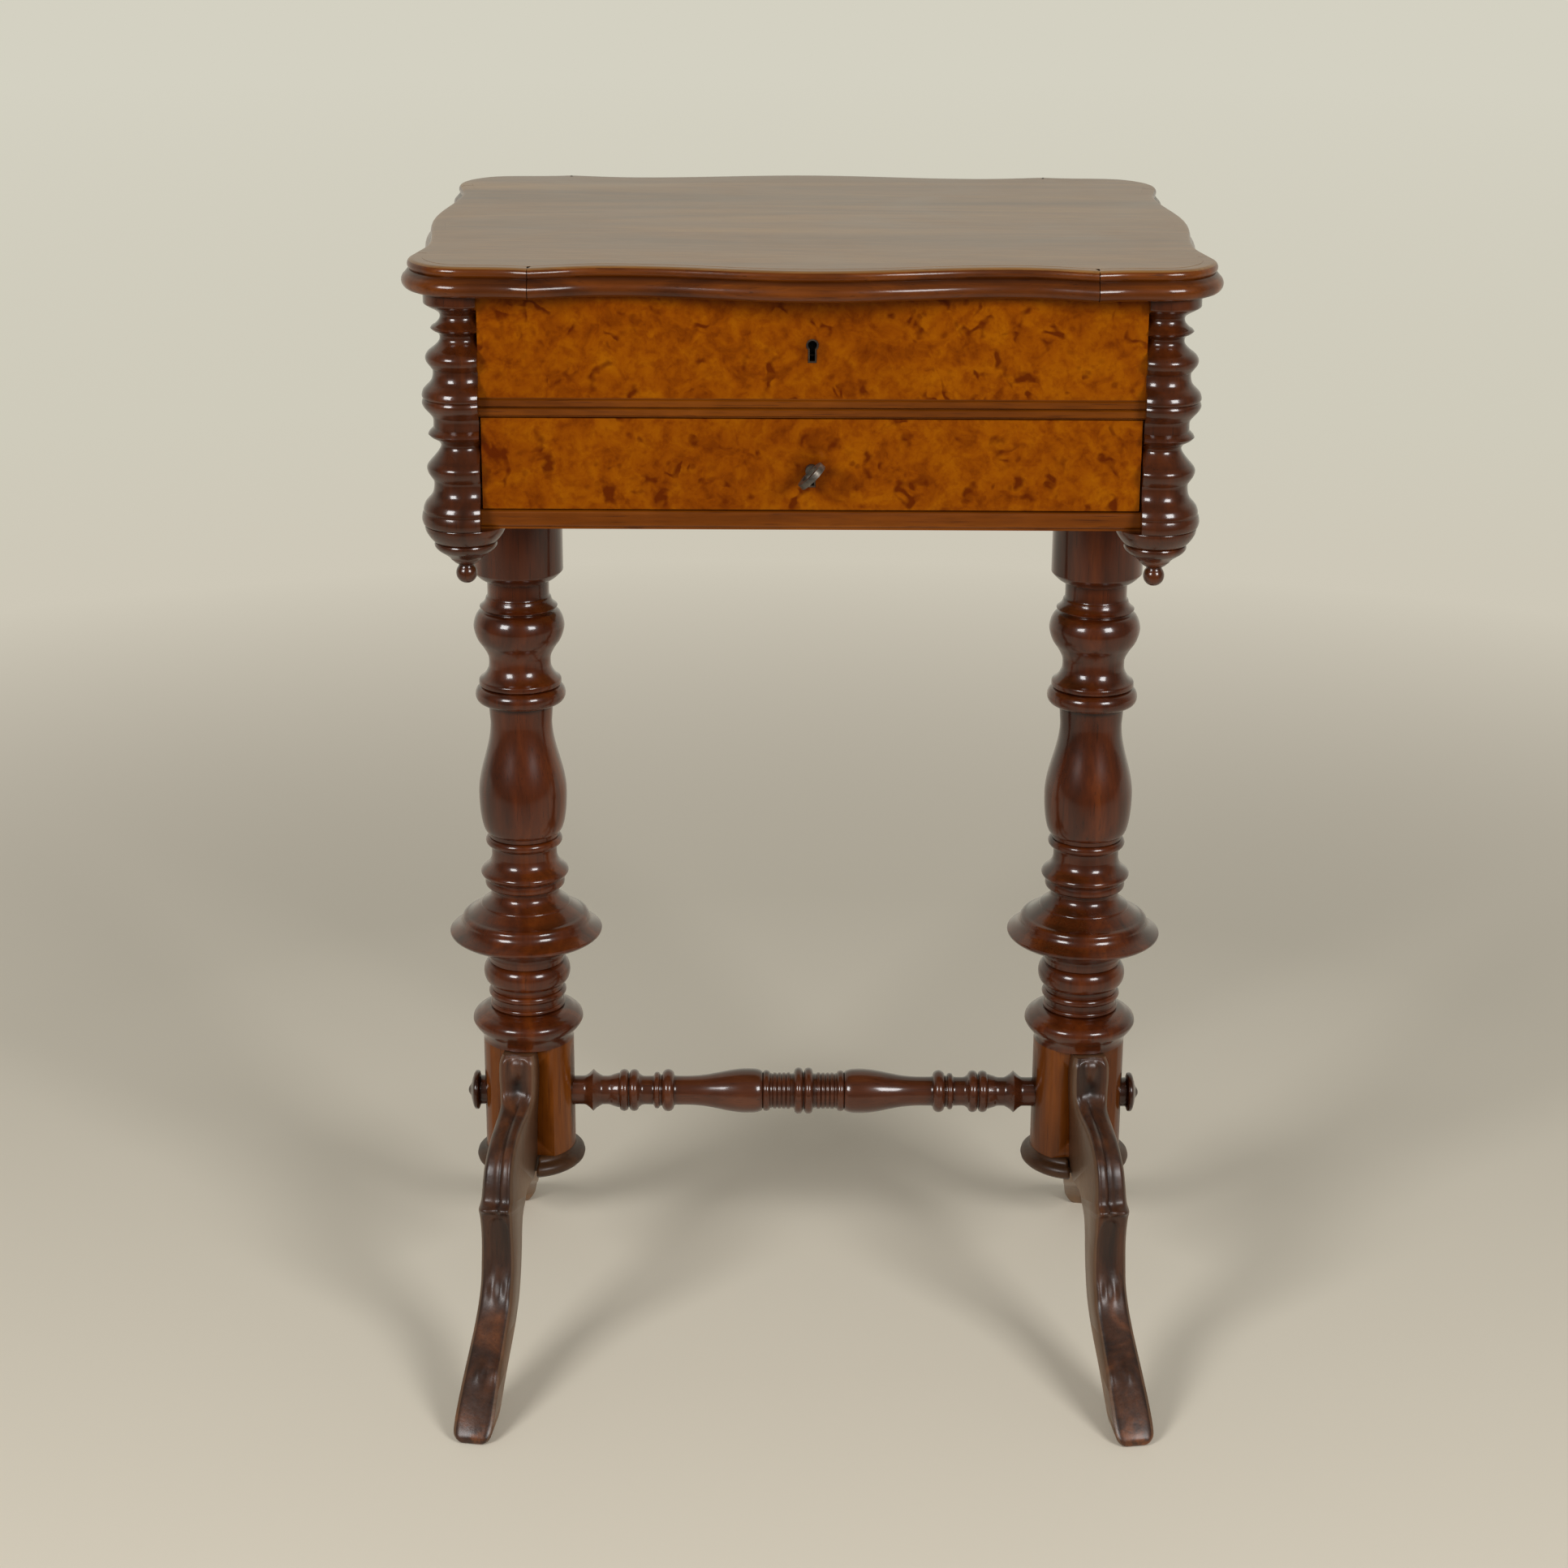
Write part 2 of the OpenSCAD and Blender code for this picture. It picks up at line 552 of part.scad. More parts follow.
// Turned corner column: radii and heights are as drawn, counted from the case's underside.
// The part beside the case stretches with the case, and the pendant with its own length
turned_h = 132.5;
turned_r = 24.4;
turned_pendant = 34.6;
function beside(pts) = [for (p = pts) [p[0] * corner_r / turned_r, p[1] * case_h / turned_h]];
function below(pts) = [for (p = pts) [p[0] * corner_r / turned_r, p[1] * pendant_h / turned_pendant]];
corner_profile = concat(
    [[0, -pendant_h]],
    [for (i = [1:6]) let (a = -90 + 22 * i) [ball_r * cos(a), -pendant_h + ball_r + ball_r * sin(a)]],
    below([[4.5, -23.4], [6.8, -22.2], [8.4, -20.8], [10.4, -18.6], [13.2, -16.6], [16, -14.8],
        [17.7, -12.8], [17.8, -11.2], [16.8, -10], [18.4, -8.8], [20.8, -6], [22.5, -2.8], [22.9, 0]]),
    beside([[23.9, 1.4], [24.4, 3.6], [24.4, 5.6], [23.8, 7.6], [23.2, 8.2], [23.4, 10.4], [22.3, 13],
        [20.4, 15.4], [18.4, 17.6], [17.2, 20.4], [17, 25.2]]),
    beside([[17.8, 27.4], [19.2, 29.4], [20.4, 31.8], [20.6, 33.8], [19.8, 36], [17.6, 38.4], [15.2, 41],
        [13.2, 43.8], [12.5, 46.4], [13.2, 48.4], [15, 50], [18, 51.4], [19.4, 52.8], [18.6, 54.2],
        [16.8, 55.8], [16.4, 60.6]]),
    beside([[17.4, 63.2], [19.6, 65.8], [21.4, 68], [22.3, 70.2], [22, 72], [21.5, 72.8], [22.1, 73.6],
        [22.2, 75.8], [21.2, 78.2], [19.2, 80.6], [17.2, 83], [16, 86], [15.9, 89.4]]),
    beside([[17.6, 91.6], [19.2, 93.8], [19.8, 96.2], [19.2, 98.4], [17.4, 100.4], [15, 102.4],
        [12.8, 104.4], [11.6, 106.4], [11.4, 108.6], [12, 110], [14, 111.2], [16.3, 112.6], [15.2, 114],
        [13, 115.6], [11.4, 117.4], [11, 120.4]]),
    beside([[11.8, 122], [13.8, 123.6], [16.4, 124.8]]),
    [[capital_r - 1, case_h - 6.2], [capital_r, case_h - 5], [capital_r, case_h], [0, case_h]]);
module corner_column(x, y) {
    wide = 2 * corner_r + 10;      // past the column on every side
    color(dark_timber) difference() {
        translate([x * corner_x, y * corner_y, case_z]) rotate_extrude() polygon(corner_profile);
        translate([x > 0 ? rebate_x - wide : -rebate_x, y * corner_y - wide, case_z])
            cube([wide, 2 * wide, case_h + 1]);
        translate([x * corner_x - wide, y > 0 ? rebate_y - wide : -rebate_y, case_z])
            cube([2 * wide, wide, case_h + 1]);
        // the back pair is cut flush with the back board, which leaves room for the lid
        if (y > 0) translate([x * corner_x - wide, case_y, case_z]) cube([2 * wide, wide, case_h + 1]);
    }
}
module corner_column_front_left() { corner_column(-1, -1); }
module corner_column_front_right() { corner_column(1, -1); }
module corner_column_back_left() { corner_column(-1, 1); }
module corner_column_back_right() { corner_column(1, 1); }

// Dividers in the well: the cross pair runs from front to back, and the long one
// is halved over them
notch_fit = 0.15;
module well_dividers_cross() {
    color(plain_wood) for (side = [-1, 1]) difference() {
        translate([side * divider_x - divider_t / 2, -inner_y, well_z])
            cube([divider_t, 2 * inner_y, divider_h]);
        translate([side * divider_x - divider_t, -divider_t / 2 - notch_fit, well_z + divider_h / 2])
            cube([2 * divider_t, divider_t + 2 * notch_fit, divider_h]);
    }
}
module well_divider_long() {
    color(plain_wood) difference() {
        translate([-inner_x, -divider_t / 2, well_z]) cube([2 * inner_x, divider_t, divider_h]);
        for (side = [-1, 1])
            translate([side * divider_x - divider_t / 2 - notch_fit, -divider_t, well_z - 1])
                cube([divider_t + 2 * notch_fit, 2 * divider_t, divider_h / 2 + 1]);
    }
}
guide_w = 7;
guide_h = 12;
module drawer_guides() {
    color(plain_wood) for (side = [-1, 1])
        translate([side > 0 ? post_x : -post_x - guide_w, -post_y, drawer_floor_z])
            cube([guide_w, 2 * post_y, guide_h]);
}

// Lid lock: a case let into the front panel, with a bolt that slides through the staples
lock_wall = 1;
shelf_t = 1.5;
bolt_fit = 0.3;
module lid_lock_case() {
    color(brass) difference() {
        translate([-lock_len / 2, -inner_y - lock_depth, case_top - lid_lock_h])
            cube([lock_len, lock_depth, lid_lock_h]);
        difference() {
            translate([-lock_len / 2 + lock_wall, -inner_y - lock_depth + lock_wall,
                case_top - lid_lock_h + lock_wall])
                cube([lock_len - 2 * lock_wall, lock_depth - 2 * lock_wall + 0.3,
                    lid_lock_h - 2 * lock_wall]);
            // the shelf that the bolt slides on
            translate([-lock_len / 2, -inner_y - lock_depth, bolt_bar_z - bolt_fit - shelf_t])
                cube([lock_len, lock_depth, shelf_t]);
        }
        for (x = staple_x)
            translate([x - 0.8, -inner_y - lock_depth + 0.5, case_top - lock_wall - 1])
                cube([staple_t + 1.6, lock_depth - 1, lock_wall + 2]);
        translate([0, -inner_y - lock_depth, 0]) intersection() {
            keyhole(lid_key_z, 0);
            translate([-10, -2, lid_key_z - 12]) cube([20, 4, 20]);
        }
    }
}
lid_bolt_t = 3;
prong_h = 3;
prong_len = 4.6;
bolt_bar_z = case_top - staple_h - 6.5;
module lid_lock_bolt() {
    color(steel) {
        translate([staple_x[0] - 11, lock_y - lid_bolt_t / 2, bolt_bar_z]) cube([26, lid_bolt_t, 4.5]);
        for (x = staple_x) {
            translate([x - 8.6, lock_y - lid_bolt_t / 2, bolt_bar_z])
                cube([3, lid_bolt_t, eye_z + 0.6 + prong_h - bolt_bar_z]);
            translate([x - 8.6, lock_y - lid_bolt_t / 2, eye_z + 0.6])
                cube([3 + prong_len, lid_bolt_t, prong_h]);
        }
    }
}
module escutcheon(y, z) {
    translate([0, y, 0]) difference() {
        intersection() {
            keyhole(z, 0.8);
            translate([-10, -0.4, z - 12]) cube([20, 2.4, 20]);
        }
        keyhole(z, 0);
    }
}
module lid_escutcheon() { color(steel) escutcheon(-case_y, lid_key_z); }

// Bearers under the case, with the screws that hold them
screw_x = bearer_w / 2 - 14;
screw_y = bearer_len / 2 - 16;
screw_head_r = 4;
screw_len = bearer_t + 7;
module at_bearer_screws() {
    for (side = [-1, 1]) for (x = [-1, 1]) for (y = [-1, 1])
        translate([side * pillar_x + x * screw_x, y * screw_y, bearer_z]) children();
}
module bearer_screw_holes() {
    at_bearer_screws() {
        cylinder(r = screw_r + 0.02, h = screw_len + 0.5);
        translate([0, 0, -0.01]) cylinder(r1 = screw_head_r + 0.02, r2 = screw_r + 0.02, h = 2.6);
    }
}
module bearer_screws() {
    color(steel) at_bearer_screws() {
        cylinder(r = screw_r, h = screw_len);
        cylinder(r1 = screw_head_r, r2 = screw_r, h = 2.6);
    }
}
module bearer(side) {
    slope = 8;
    color(plain_wood) difference() {
        translate([side * pillar_x - bearer_w / 2, 0, bearer_z]) rotate([90, 0, 90])
            linear_extrude(bearer_w) polygon([
                [-bearer_len / 2, bearer_t], [-bearer_len / 2, slope], [-bearer_len / 2 + slope, 0],
                [bearer_len / 2 - slope, 0], [bearer_len / 2, slope], [bearer_len / 2, bearer_t]]);
        translate([side * pillar_x, 0, bearer_z - 1]) cylinder(r = pin_r + 2 + glue, h = bearer_t + 2);
        bearer_screw_holes();
    }
}
module bearer_left() { bearer(-1); }
module bearer_right() { bearer(1); }

// Pillar: the turned sections are stacked as drawn from the drum upward, the vase takes up
// what the others leave of the drawn height, and the whole stretches up to the block
turned_pillar_h = 317;
pin_len = 22;
collar_h = 26;
bead_h = 32;
disc_h = 46;
knop_h = 24;
ring_h = 16;
cuff_h = 32;
bulb_h = 42;
throat_h = 10.5;
shoulder_h = 6.5;
low_neck_r = neck_r + 3.9;
mid_neck_r = neck_r + 2.2;
vase_foot_r = neck_r + 3.6;
vase_h = turned_pillar_h - shoulder_h
    - (collar_h + bead_h + disc_h + knop_h + ring_h + cuff_h + bulb_h + throat_h);
belly_z = 26;
waist_z = vase_h - 8;
collar_part = [[drum_r, 0], [drum_r, 2], [drum_r + 1.8, 6], [collar_r - 1.8, 9.5], [collar_r - 0.3, 12.3],
    [collar_r, 14], [collar_r - 0.9, 16.5], [collar_r - 3, 18.6], [collar_r - 4.7, 19.4],
    [collar_r - 5, 20.4], [collar_r - 6.4, 22.3], [low_neck_r + 2, 24.2], [low_neck_r, 26]];
bead_part = concat(
    [[low_neck_r, 6], [low_neck_r + 0.9, 7.6], [low_neck_r + 0.9, 12], [low_neck_r + 1.3, 13.2]],
    bead(21, bead_r, 15, bead_r - low_neck_r - 1.4), [[low_neck_r + 1.5, 29.6]]);
disc_part = [[low_neck_r + 1.7, 3], [disc_r - 21, 5.5], [disc_r - 15.6, 9], [disc_r - 8.6, 12],
    [disc_r - 3.6, 14], [disc_r - 0.8, 16], [disc_r, 18], [disc_r - 0.6, 20], [disc_r - 2.6, 22],
    [disc_r - 5, 24.2], [disc_r - 6.4, 26], [disc_r - 7.6, 27.2], [disc_r - 8.1, 28.2], [disc_r - 8.8, 30],
    [disc_r - 10.6, 31.8], [disc_r - 14.6, 33.8], [disc_r - 19, 36], [mid_neck_r + 4.4, 38.5],
    [mid_neck_r + 1.9, 41], [mid_neck_r + 0.4, 43.5]];
knop_part = concat([[mid_neck_r, 1.6]], bead(5.6, knop_r - 2, 7, 3.2), bead(12.6, knop_r, 7, 3.6),
    [[mid_neck_r + 1.2, 17.6], [mid_neck_r + 0.2, 19.6], [mid_neck_r - 0.5, 22]]);
ring_part = concat([[mid_neck_r - 0.6, 4], [mid_neck_r - 0.3, 6]], bead(10, mid_neck_r + 3, 6, 2.4),
    [[vase_foot_r - 0.6, 14]]);
vase_part = concat(
    [for (i = [0:6]) [vase_foot_r + (vase_r - vase_foot_r) * sin(15 * i), belly_z * (1 - cos(15 * i))]],
    [for (i = [1:10])
        [neck_r + (vase_r - neck_r) * (1 + cos(18 * i)) / 2, belly_z + (waist_z - belly_z) * i / 10]],
    [[neck_r + 0.5, vase_h - 2]]);
cuff_part = concat([[neck_r + 1, 1], [neck_r + 1.3, 4.2]], bead(10.6, cuff_r, 11, 4.2),
    bead(19.9, cuff_r - 2.8, 7, 2.6), [[neck_r + 2.6, 24.4], [neck_r + 1, 26.2], [neck_r + 0.1, 29]]);
bulb_part = concat(
    [[neck_r, 1], [neck_r + 0.4, 4], [neck_r + 1.6, 6.6], [neck_r + 3.8, 10], [bulb_r - 2.6, 14],
    [bulb_r - 0.9, 18], [bulb_r, 22.5], [bulb_r - 0.2, 25.5], [bulb_r - 1.2, 29], [bulb_r - 3, 32]],
    bead(37, bulb_r - 4.3, 6, 2.4), [[neck_r + 1, 40.8]]);
throat_part = [[neck_r, 1], [neck_r, throat_h], [block_r - 1.6, throat_h + shoulder_h - 1.4],
    [block_r, throat_h + shoulder_h]];
bead_z = collar_h;
disc_z = bead_z + bead_h;
knop_z = disc_z + disc_h;
ring_z = knop_z + knop_h;
vase_z = ring_z + ring_h;
cuff_z = vase_z + vase_h;
bulb_z = cuff_z + cuff_h;
throat_z = bulb_z + bulb_h;
pillar_stretch = (bearer_z - block_h - drum_top) / turned_pillar_h;
function stacked(pts, z) = [for (p = pts) [p[0], drum_top + (p[1] + z) * pillar_stretch]];
pillar_profile = concat(
    [[0, drum_top - pin_len], [pin_r, drum_top - pin_len], [pin_r, drum_top]],
    stacked(collar_part, 0), stacked(bead_part, bead_z), stacked(disc_part, disc_z),
    stacked(knop_part, knop_z), stacked(ring_part, ring_z), stacked(vase_part, vase_z),
    stacked(cuff_part, cuff_z), stacked(bulb_part, bulb_z), stacked(throat_part, throat_z),
    [[block_r, bearer_z], [pin_r + 2, bearer_z], [pin_r + 2, case_z - 0.2], [0, case_z - 0.2]]);
module pillar(side) {
    color(timber) translate([side * pillar_x, 0, 0]) rotate_extrude() polygon(pillar_profile);
}
module pillar_left() { pillar(-1); }
module pillar_right() { pillar(1); }

// Drum with its pin holes, its flat beds for the legs and its stretcher hole
seat_deep = 2;         // the stretcher and the buttons sit this far into the drum
seat_r = 9.6;
tenon_len = 18;
button_pin_r = 5;
button_pin_len = 12;
dowel_in = 12;         // how far a dowel reaches into each piece
dowel_z = [drum_z + 20, drum_z + 49];
// Stands a leg's own frame (X outward from the drum, Y across) at one corner of the table
module at_leg(x, y) {
    translate([x * pillar_x, 0, 0]) rotate([0, 0, y * (90 - x * leg_splay)]) children();
}
module dowel_holes(x, y) {
    at_leg(x, y) for (z = dowel_z)
        translate([leg_bed - dowel_in, 0, z]) rotate([0, 90, 0])
            cylinder(r = dowel_r + glue / 2, h = 2 * dowel_in);
}
module drum(x) {
    color(burr) difference() {
        translate([x * pillar_x, 0, drum_z]) cylinder(r = drum_r, h = drum_h, $fn = 96);
        translate([x * pillar_x, 0, drum_top - pin_len - 0.5]) cylinder(r = pin_r + glue, h = pin_len + 2);
        translate([x * pillar_x, 0, drum_z - 1]) cylinder(r = pin_r + glue, h = 13.5);
        translate([x * (pillar_x - drum_r - 1), 0, stretcher_z]) rotate([0, x * 90, 0]) {
            cylinder(r = tenon_r + glue, h = tenon_len + seat_deep + 1.5);
            cylinder(r = seat_r + glue, h = seat_deep + 1);
        }
        translate([x * (pillar_x + drum_r + 1), 0, stretcher_z]) rotate([0, -x * 90, 0]) {
            cylinder(r = button_pin_r + glue, h = button_pin_len + seat_deep + 1.5);
            cylinder(r = seat_r + glue, h = seat_deep + 1);
        }
        for (y = [-1, 1]) {
            at_leg(x, y) translate([leg_bed, -30, drum_z - 1]) cube([20, 60, drum_h + 2]);
            dowel_holes(x, y);
        }
    }
}
module drum_left() { drum(-1); }
module drum_right() { drum(1); }
base_profile = concat([[0, 0], [base_r - 3.4, 0]],
    [for (i = [0:6]) let (a = -90 + 30 * i) [base_r - 4.4 + 4.4 * cos(a), 4.6 + 4.4 * sin(a)]],
    [[drum_r + 0.4, 10], [drum_r + 0.2, base_t], [pin_r, base_t], [pin_r, base_t + 12], [0, base_t + 12]]);
module drum_base(x) {
    color(dark_timber) difference() {
        translate([x * pillar_x, 0, base_up]) rotate_extrude() polygon(base_profile);
        for (y = [-1, 1]) at_leg(x, y)
            translate([leg_bed, -leg_w / 2 - 0.2, base_up - 1]) cube([20, leg_w + 0.4, base_t + 2]);
    }
}
module drum_base_left() { drum_base(-1); }
module drum_base_right() { drum_base(1); }

// Leg: side outline as [distance out from the drum's bed, height], drawn at one size
// and stretched to the reach and the height
drawn_out = 151.8;
drawn_h = 203;
leg_top = drum_top - 1;
leg_face = [[12.4, 203], [15.6, 198], [16.2, 188], [17, 177], [24.4, 170.5], [38.4, 167.5], [51, 164],
    [61, 158], [69, 150], [75.4, 140.5], [80.6, 131.5], [83.2, 125.5], [79.4, 121], [77, 111], [76.2, 99],
    [77.4, 86], [81, 73], [89, 61.5], [100.6, 51.2], [113.4, 41], [126, 30.6], [137.6, 20.5],
    [147, 11.4], [151.8, 5.4]];
leg_toe = [[151.8, 1.6], [150, 0], [132, 0]];
leg_back = [[127.6, 8.6], [119.4, 17], [108.6, 25.6], [96.8, 33], [84, 40], [72, 48.5], [63, 59.5],
    [57, 73.5], [53, 88], [50.2, 100], [46, 110.4], [39.8, 116.2], [31.4, 118], [16.4, 117]];
leg_outline = concat([[0, 203]], curve(leg_face, 2), leg_toe, curve(leg_back, 2), [[0, 117]]);
module leg(x, y) {
    reach = y < 0 ? front_reach : back_reach;
    half_width = [[leg_bed - 1, leg_w / 2], [leg_bed + 14, leg_w / 2], [leg_bed + 26, leg_neck / 2],
        [leg_bed + 58, leg_neck / 2], [leg_bed + 88, leg_neck / 2 + 1.4], [reach - 36, leg_toe_w / 2 - 0.8],
        [reach - 12, leg_toe_w / 2], [reach - 3, leg_toe_w / 2 - 2.4], [reach + 1, leg_toe_w / 2 - 6]];
    stretch = (reach - leg_bed) / drawn_out;
    color(timber) difference() {
        at_leg(x, y) intersection() {
            rotate([90, 0, 0]) translate([0, 0, -leg_toe_w / 2 - 1]) linear_extrude(leg_toe_w + 2)
                polygon([for (p = leg_outline) [leg_bed + p[0] * stretch, p[1] * leg_top / drawn_h]]);
            linear_extrude(leg_top + 1)
                polygon(concat(half_width, [for (p = reversed(half_width)) [p[0], -p[1]]]));
        }
        dowel_holes(x, y);
    }
}
module leg_front_left() { leg(-1, -1); }
module leg_front_right() { leg(1, -1); }
module leg_back_left() { leg(-1, 1); }
module leg_back_right() { leg(1, 1); }
module leg_dowels() {
    color(plain_wood) for (x = [-1, 1]) for (y = [-1, 1]) at_leg(x, y) for (z = dowel_z)
        translate([leg_bed - dowel_in + 0.5, 0, z]) rotate([0, 90, 0])
            cylinder(r = dowel_r, h = 2 * dowel_in - 1);
}

// Stretcher: half of the turning, from the middle outward as [radius, distance]
shoulder_x = pillar_x - drum_r + seat_deep;
plain_r = 9.6;
half_stretcher = concat(
    [[stretcher_r - 2.4, 0]], bead(3.2, stretcher_r, 5.8, 2.4), [[11.4, 7.2], [11.4, 8.4]],
    bead(10, 12.4, 2.6, 0.9), bead(13, 12.2, 2.6, 0.9), bead(16, 12.2, 2.6, 0.9), bead(19, 12.2, 2.8, 0.9),
    [[11.6, 21]], bead(24.6, 13.6, 4.8, 1.8), [[12.6, 27.4]],
    curve([[13.6, 28.4], [14.6, 33], [14.6, 41], [13.6, 49], [12, 57], [10.4, 66], [9.7, 75]], 2),
    [[9.7, 84]], bead(89.8, 14, 7.4, 3.4), [[10.8, 95]], bead(97.2, 12.2, 3.6, 1.4),
    [[plain_r, 100.4], [plain_r, 106]],
    [[10.6, 107.6]], bead(112.4, 13.9, 6, 2.2), bead(119, 13.9, 6, 2.2),
    [[11.6, 123], [10.6, 126.4], [plain_r, 128.6]],
    [[plain_r, 133.4]], [[11, 135.2], [13.9, 139.2], [11.2, 142.4], [plain_r, 144.4]]);
module stretcher() {
    stretch = shoulder_x / 153.9;
    half = concat([for (p = half_stretcher) [p[0], p[1] * stretch]],
        [[seat_r, 147 * stretch], [seat_r, shoulder_x], [tenon_r, shoulder_x],
            [tenon_r, shoulder_x + tenon_len]]);
    other = [for (i = [len(half) - 1:-1:1]) [half[i][0], -half[i][1]]];
    color(timber) translate([0, 0, stretcher_z]) rotate([0, 90, 0]) rotate_extrude()
        polygon(concat([[0, -shoulder_x - tenon_len]], other, half, [[0, shoulder_x + tenon_len]]));
}
button_profile = concat([[0, -button_pin_len - seat_deep], [button_pin_r, -button_pin_len - seat_deep],
    [button_pin_r, -seat_deep], [seat_r, -seat_deep], [seat_r, 2.6], [seat_r + 1, 4.2],
    [button_r - 0.6, 5], [button_r, 6.2], [button_r - 0.8, 7.4], [button_r - 4, 8.6], [button_r - 8, 9.5],
    [2.4, 9.8], [2.2, 11.4], [1.2, 12.2], [0, 12.2]]);
module stretcher_buttons() {
    color(dark_timber) for (x = [-1, 1])
        translate([x * (pillar_x + drum_r), 0, stretcher_z]) rotate([0, x * 90, 0])
            rotate_extrude() polygon(button_profile);
}

// Drawer
drawer_x = post_x - drawer_fit;
drawer_box_z = drawer_floor_z + 0.3;
drawer_back_y = -inner_y + drawer_len;
drawer_back_t = 7;
groove = 3;
bolt_w = 14;
bolt_t = 2;
bolt_y = -case_y + 7.4;
drawer_key_z = drawer_front_top - drawer_key_drop;
drawer_lock_h = 42;
drawer_lock_len = 36;
drawer_lock_depth = 7;
module drawer_front() {
    half = rebate_x - drawer_gap;
    color(burr) difference() {
        translate([-half, -case_y, drawer_front_z]) cube([2 * half, board_t, drawer_front_h]);
        translate([-drawer_lock_len / 2 - pocket, -inner_y - drawer_lock_depth - pocket,
            drawer_front_top - drawer_lock_h - pocket])
            cube([drawer_lock_len + 2 * pocket, drawer_lock_depth + 1, drawer_lock_h + 1]);
        translate([0, -case_y, 0]) keyhole(drawer_key_z, 0.8 + glue);
        translate([-drawer_x + drawer_side_t - groove, -inner_y - groove, drawer_box_z + drawer_bottom_up])
            cube([2 * (drawer_x - drawer_side_t + groove), groove + 1, drawer_bottom_t]);
    }
}
module drawer_side(x) {
    color(plain_wood) difference() {
        translate([x > 0 ? drawer_x - drawer_side_t : -drawer_x, -inner_y, drawer_box_z])
            cube([drawer_side_t, drawer_len, drawer_side_h]);
        translate([x > 0 ? drawer_x - drawer_side_t - 1 : -drawer_x + drawer_side_t - groove, -inner_y - 1,
            drawer_box_z + drawer_bottom_up])
            cube([groove + 1, drawer_len - drawer_back_t + 1, drawer_bottom_t]);
    }
}
module drawer_side_left() { drawer_side(-1); }
module drawer_side_right() { drawer_side(1); }
module drawer_back() {
    color(plain_wood)
        translate([-drawer_x + drawer_side_t, drawer_back_y - drawer_back_t, drawer_box_z])
            cube([2 * (drawer_x - drawer_side_t), drawer_back_t, drawer_side_h]);
}
module drawer_bottom() {
    color(plain_wood)
        translate([-drawer_x + drawer_side_t - groove, -inner_y - groove, drawer_box_z + drawer_bottom_up])
            cube([2 * (drawer_x - drawer_side_t + groove), drawer_len - drawer_back_t + groove,
                drawer_bottom_t]);
}

// Drawer lock: the key lifts the bolt into the rail above the drawer
key_r = 2.2;
bit_len = 8.6;
bit_t = 2;
bolt_low = 5;          // the bolt's lower edge above the key's axis
module drawer_lock_case() {
    color(brass) difference() {
        translate([-drawer_lock_len / 2, -inner_y - drawer_lock_depth, drawer_front_top - drawer_lock_h])
            cube([drawer_lock_len, drawer_lock_depth, drawer_lock_h]);
        translate([-drawer_lock_len / 2 + lock_wall, -inner_y - drawer_lock_depth + lock_wall,
            drawer_front_top - drawer_lock_h + lock_wall])
            cube([drawer_lock_len - 2 * lock_wall, drawer_lock_depth - 2 * lock_wall + 0.3,
                drawer_lock_h - 2 * lock_wall]);
        translate([-bolt_w / 2 - 0.4, bolt_y - bolt_t / 2 - 0.4, drawer_front_top - lock_wall - 1])
            cube([bolt_w + 0.8, bolt_t + 0.8, lock_wall + 2]);
        translate([0, -inner_y - drawer_lock_depth, 0]) intersection() {
            keyhole(drawer_key_z, 0);
            translate([-10, -2, drawer_key_z - 12]) cube([20, 4, 20]);
        }
    }
}
module drawer_escutcheon() { color(steel) escutcheon(-case_y, drawer_key_z); }
module drawer_lock_bolt() {
    color(steel) translate([-bolt_w / 2, bolt_y - bolt_t / 2, drawer_key_z + bolt_low])
        cube([bolt_w, bolt_t, drawer_key_drop - bolt_low - 0.5]);
}
// The key is turned halfway, so that its bow slants and its bit points down to the left
key_turned = 45;
key_out = 15;          // from the drawer's face to the middle of the bow
bow_r = 9;
bow_hole_r = 5.6;
bow_t = 3.4;
key_in = 10.6;         // from the drawer's face to the key's inner end
module drawer_key() {
    color(steel) translate([0, -case_y, drawer_key_z]) rotate([0, key_turned, 0]) {
        difference() {
            union() {
                translate([0, key_in, 0]) rotate([90, 0, 0])
                    cylinder(r = key_r, h = key_in + key_out - bow_hole_r);
                translate([0, -2.2, 0]) rotate([90, 0, 0]) cylinder(r = key_r + 1.2, h = 2.4);
                translate([-bow_t / 2, -key_out, 0]) rotate([0, 90, 0]) cylinder(r = bow_r, h = bow_t);
                translate([-bit_t / 2, bolt_y + case_y - 1.4, -bit_len]) cube([bit_t, 3, bit_len]);
            }
            translate([-bow_t, -key_out, 0]) rotate([0, 90, 0]) cylinder(r = bow_hole_r, h = 2 * bow_t);
        }
    }
}

lid_panel();
lid_edge_front();
lid_edge_back();
lid_edge_left();
lid_edge_right();
lid_corner_front_left();
lid_corner_front_right();
lid_corner_back_left();
lid_corner_back_right();
lid_hinge_leaves();
lid_link_plate();
lid_screws();
side_board_left();
side_board_right();
back_board();
front_panel();
mid_rail();
bottom_rail();
side_mouldings();
bottom_board();
well_floor();
front_posts();
back_posts();
corner_column_front_left();
corner_column_front_right();
corner_column_back_left();
corner_column_back_right();
well_dividers_cross();
well_divider_long();
drawer_guides();
case_hinge_leaves();
hinge_pins();
lid_lock_case();
lid_escutcheon();
lid_lock_bolt();
bearer_left();
bearer_right();
bearer_screws();
pillar_left();
pillar_right();
drum_left();
drum_right();
drum_base_left();
drum_base_right();
stretcher();
stretcher_buttons();
leg_front_left();
leg_front_right();
leg_back_left();
leg_back_right();
leg_dowels();
drawer_front();
drawer_side_left();
drawer_side_right();
drawer_back();
drawer_bottom();
drawer_lock_case();
drawer_escutcheon();
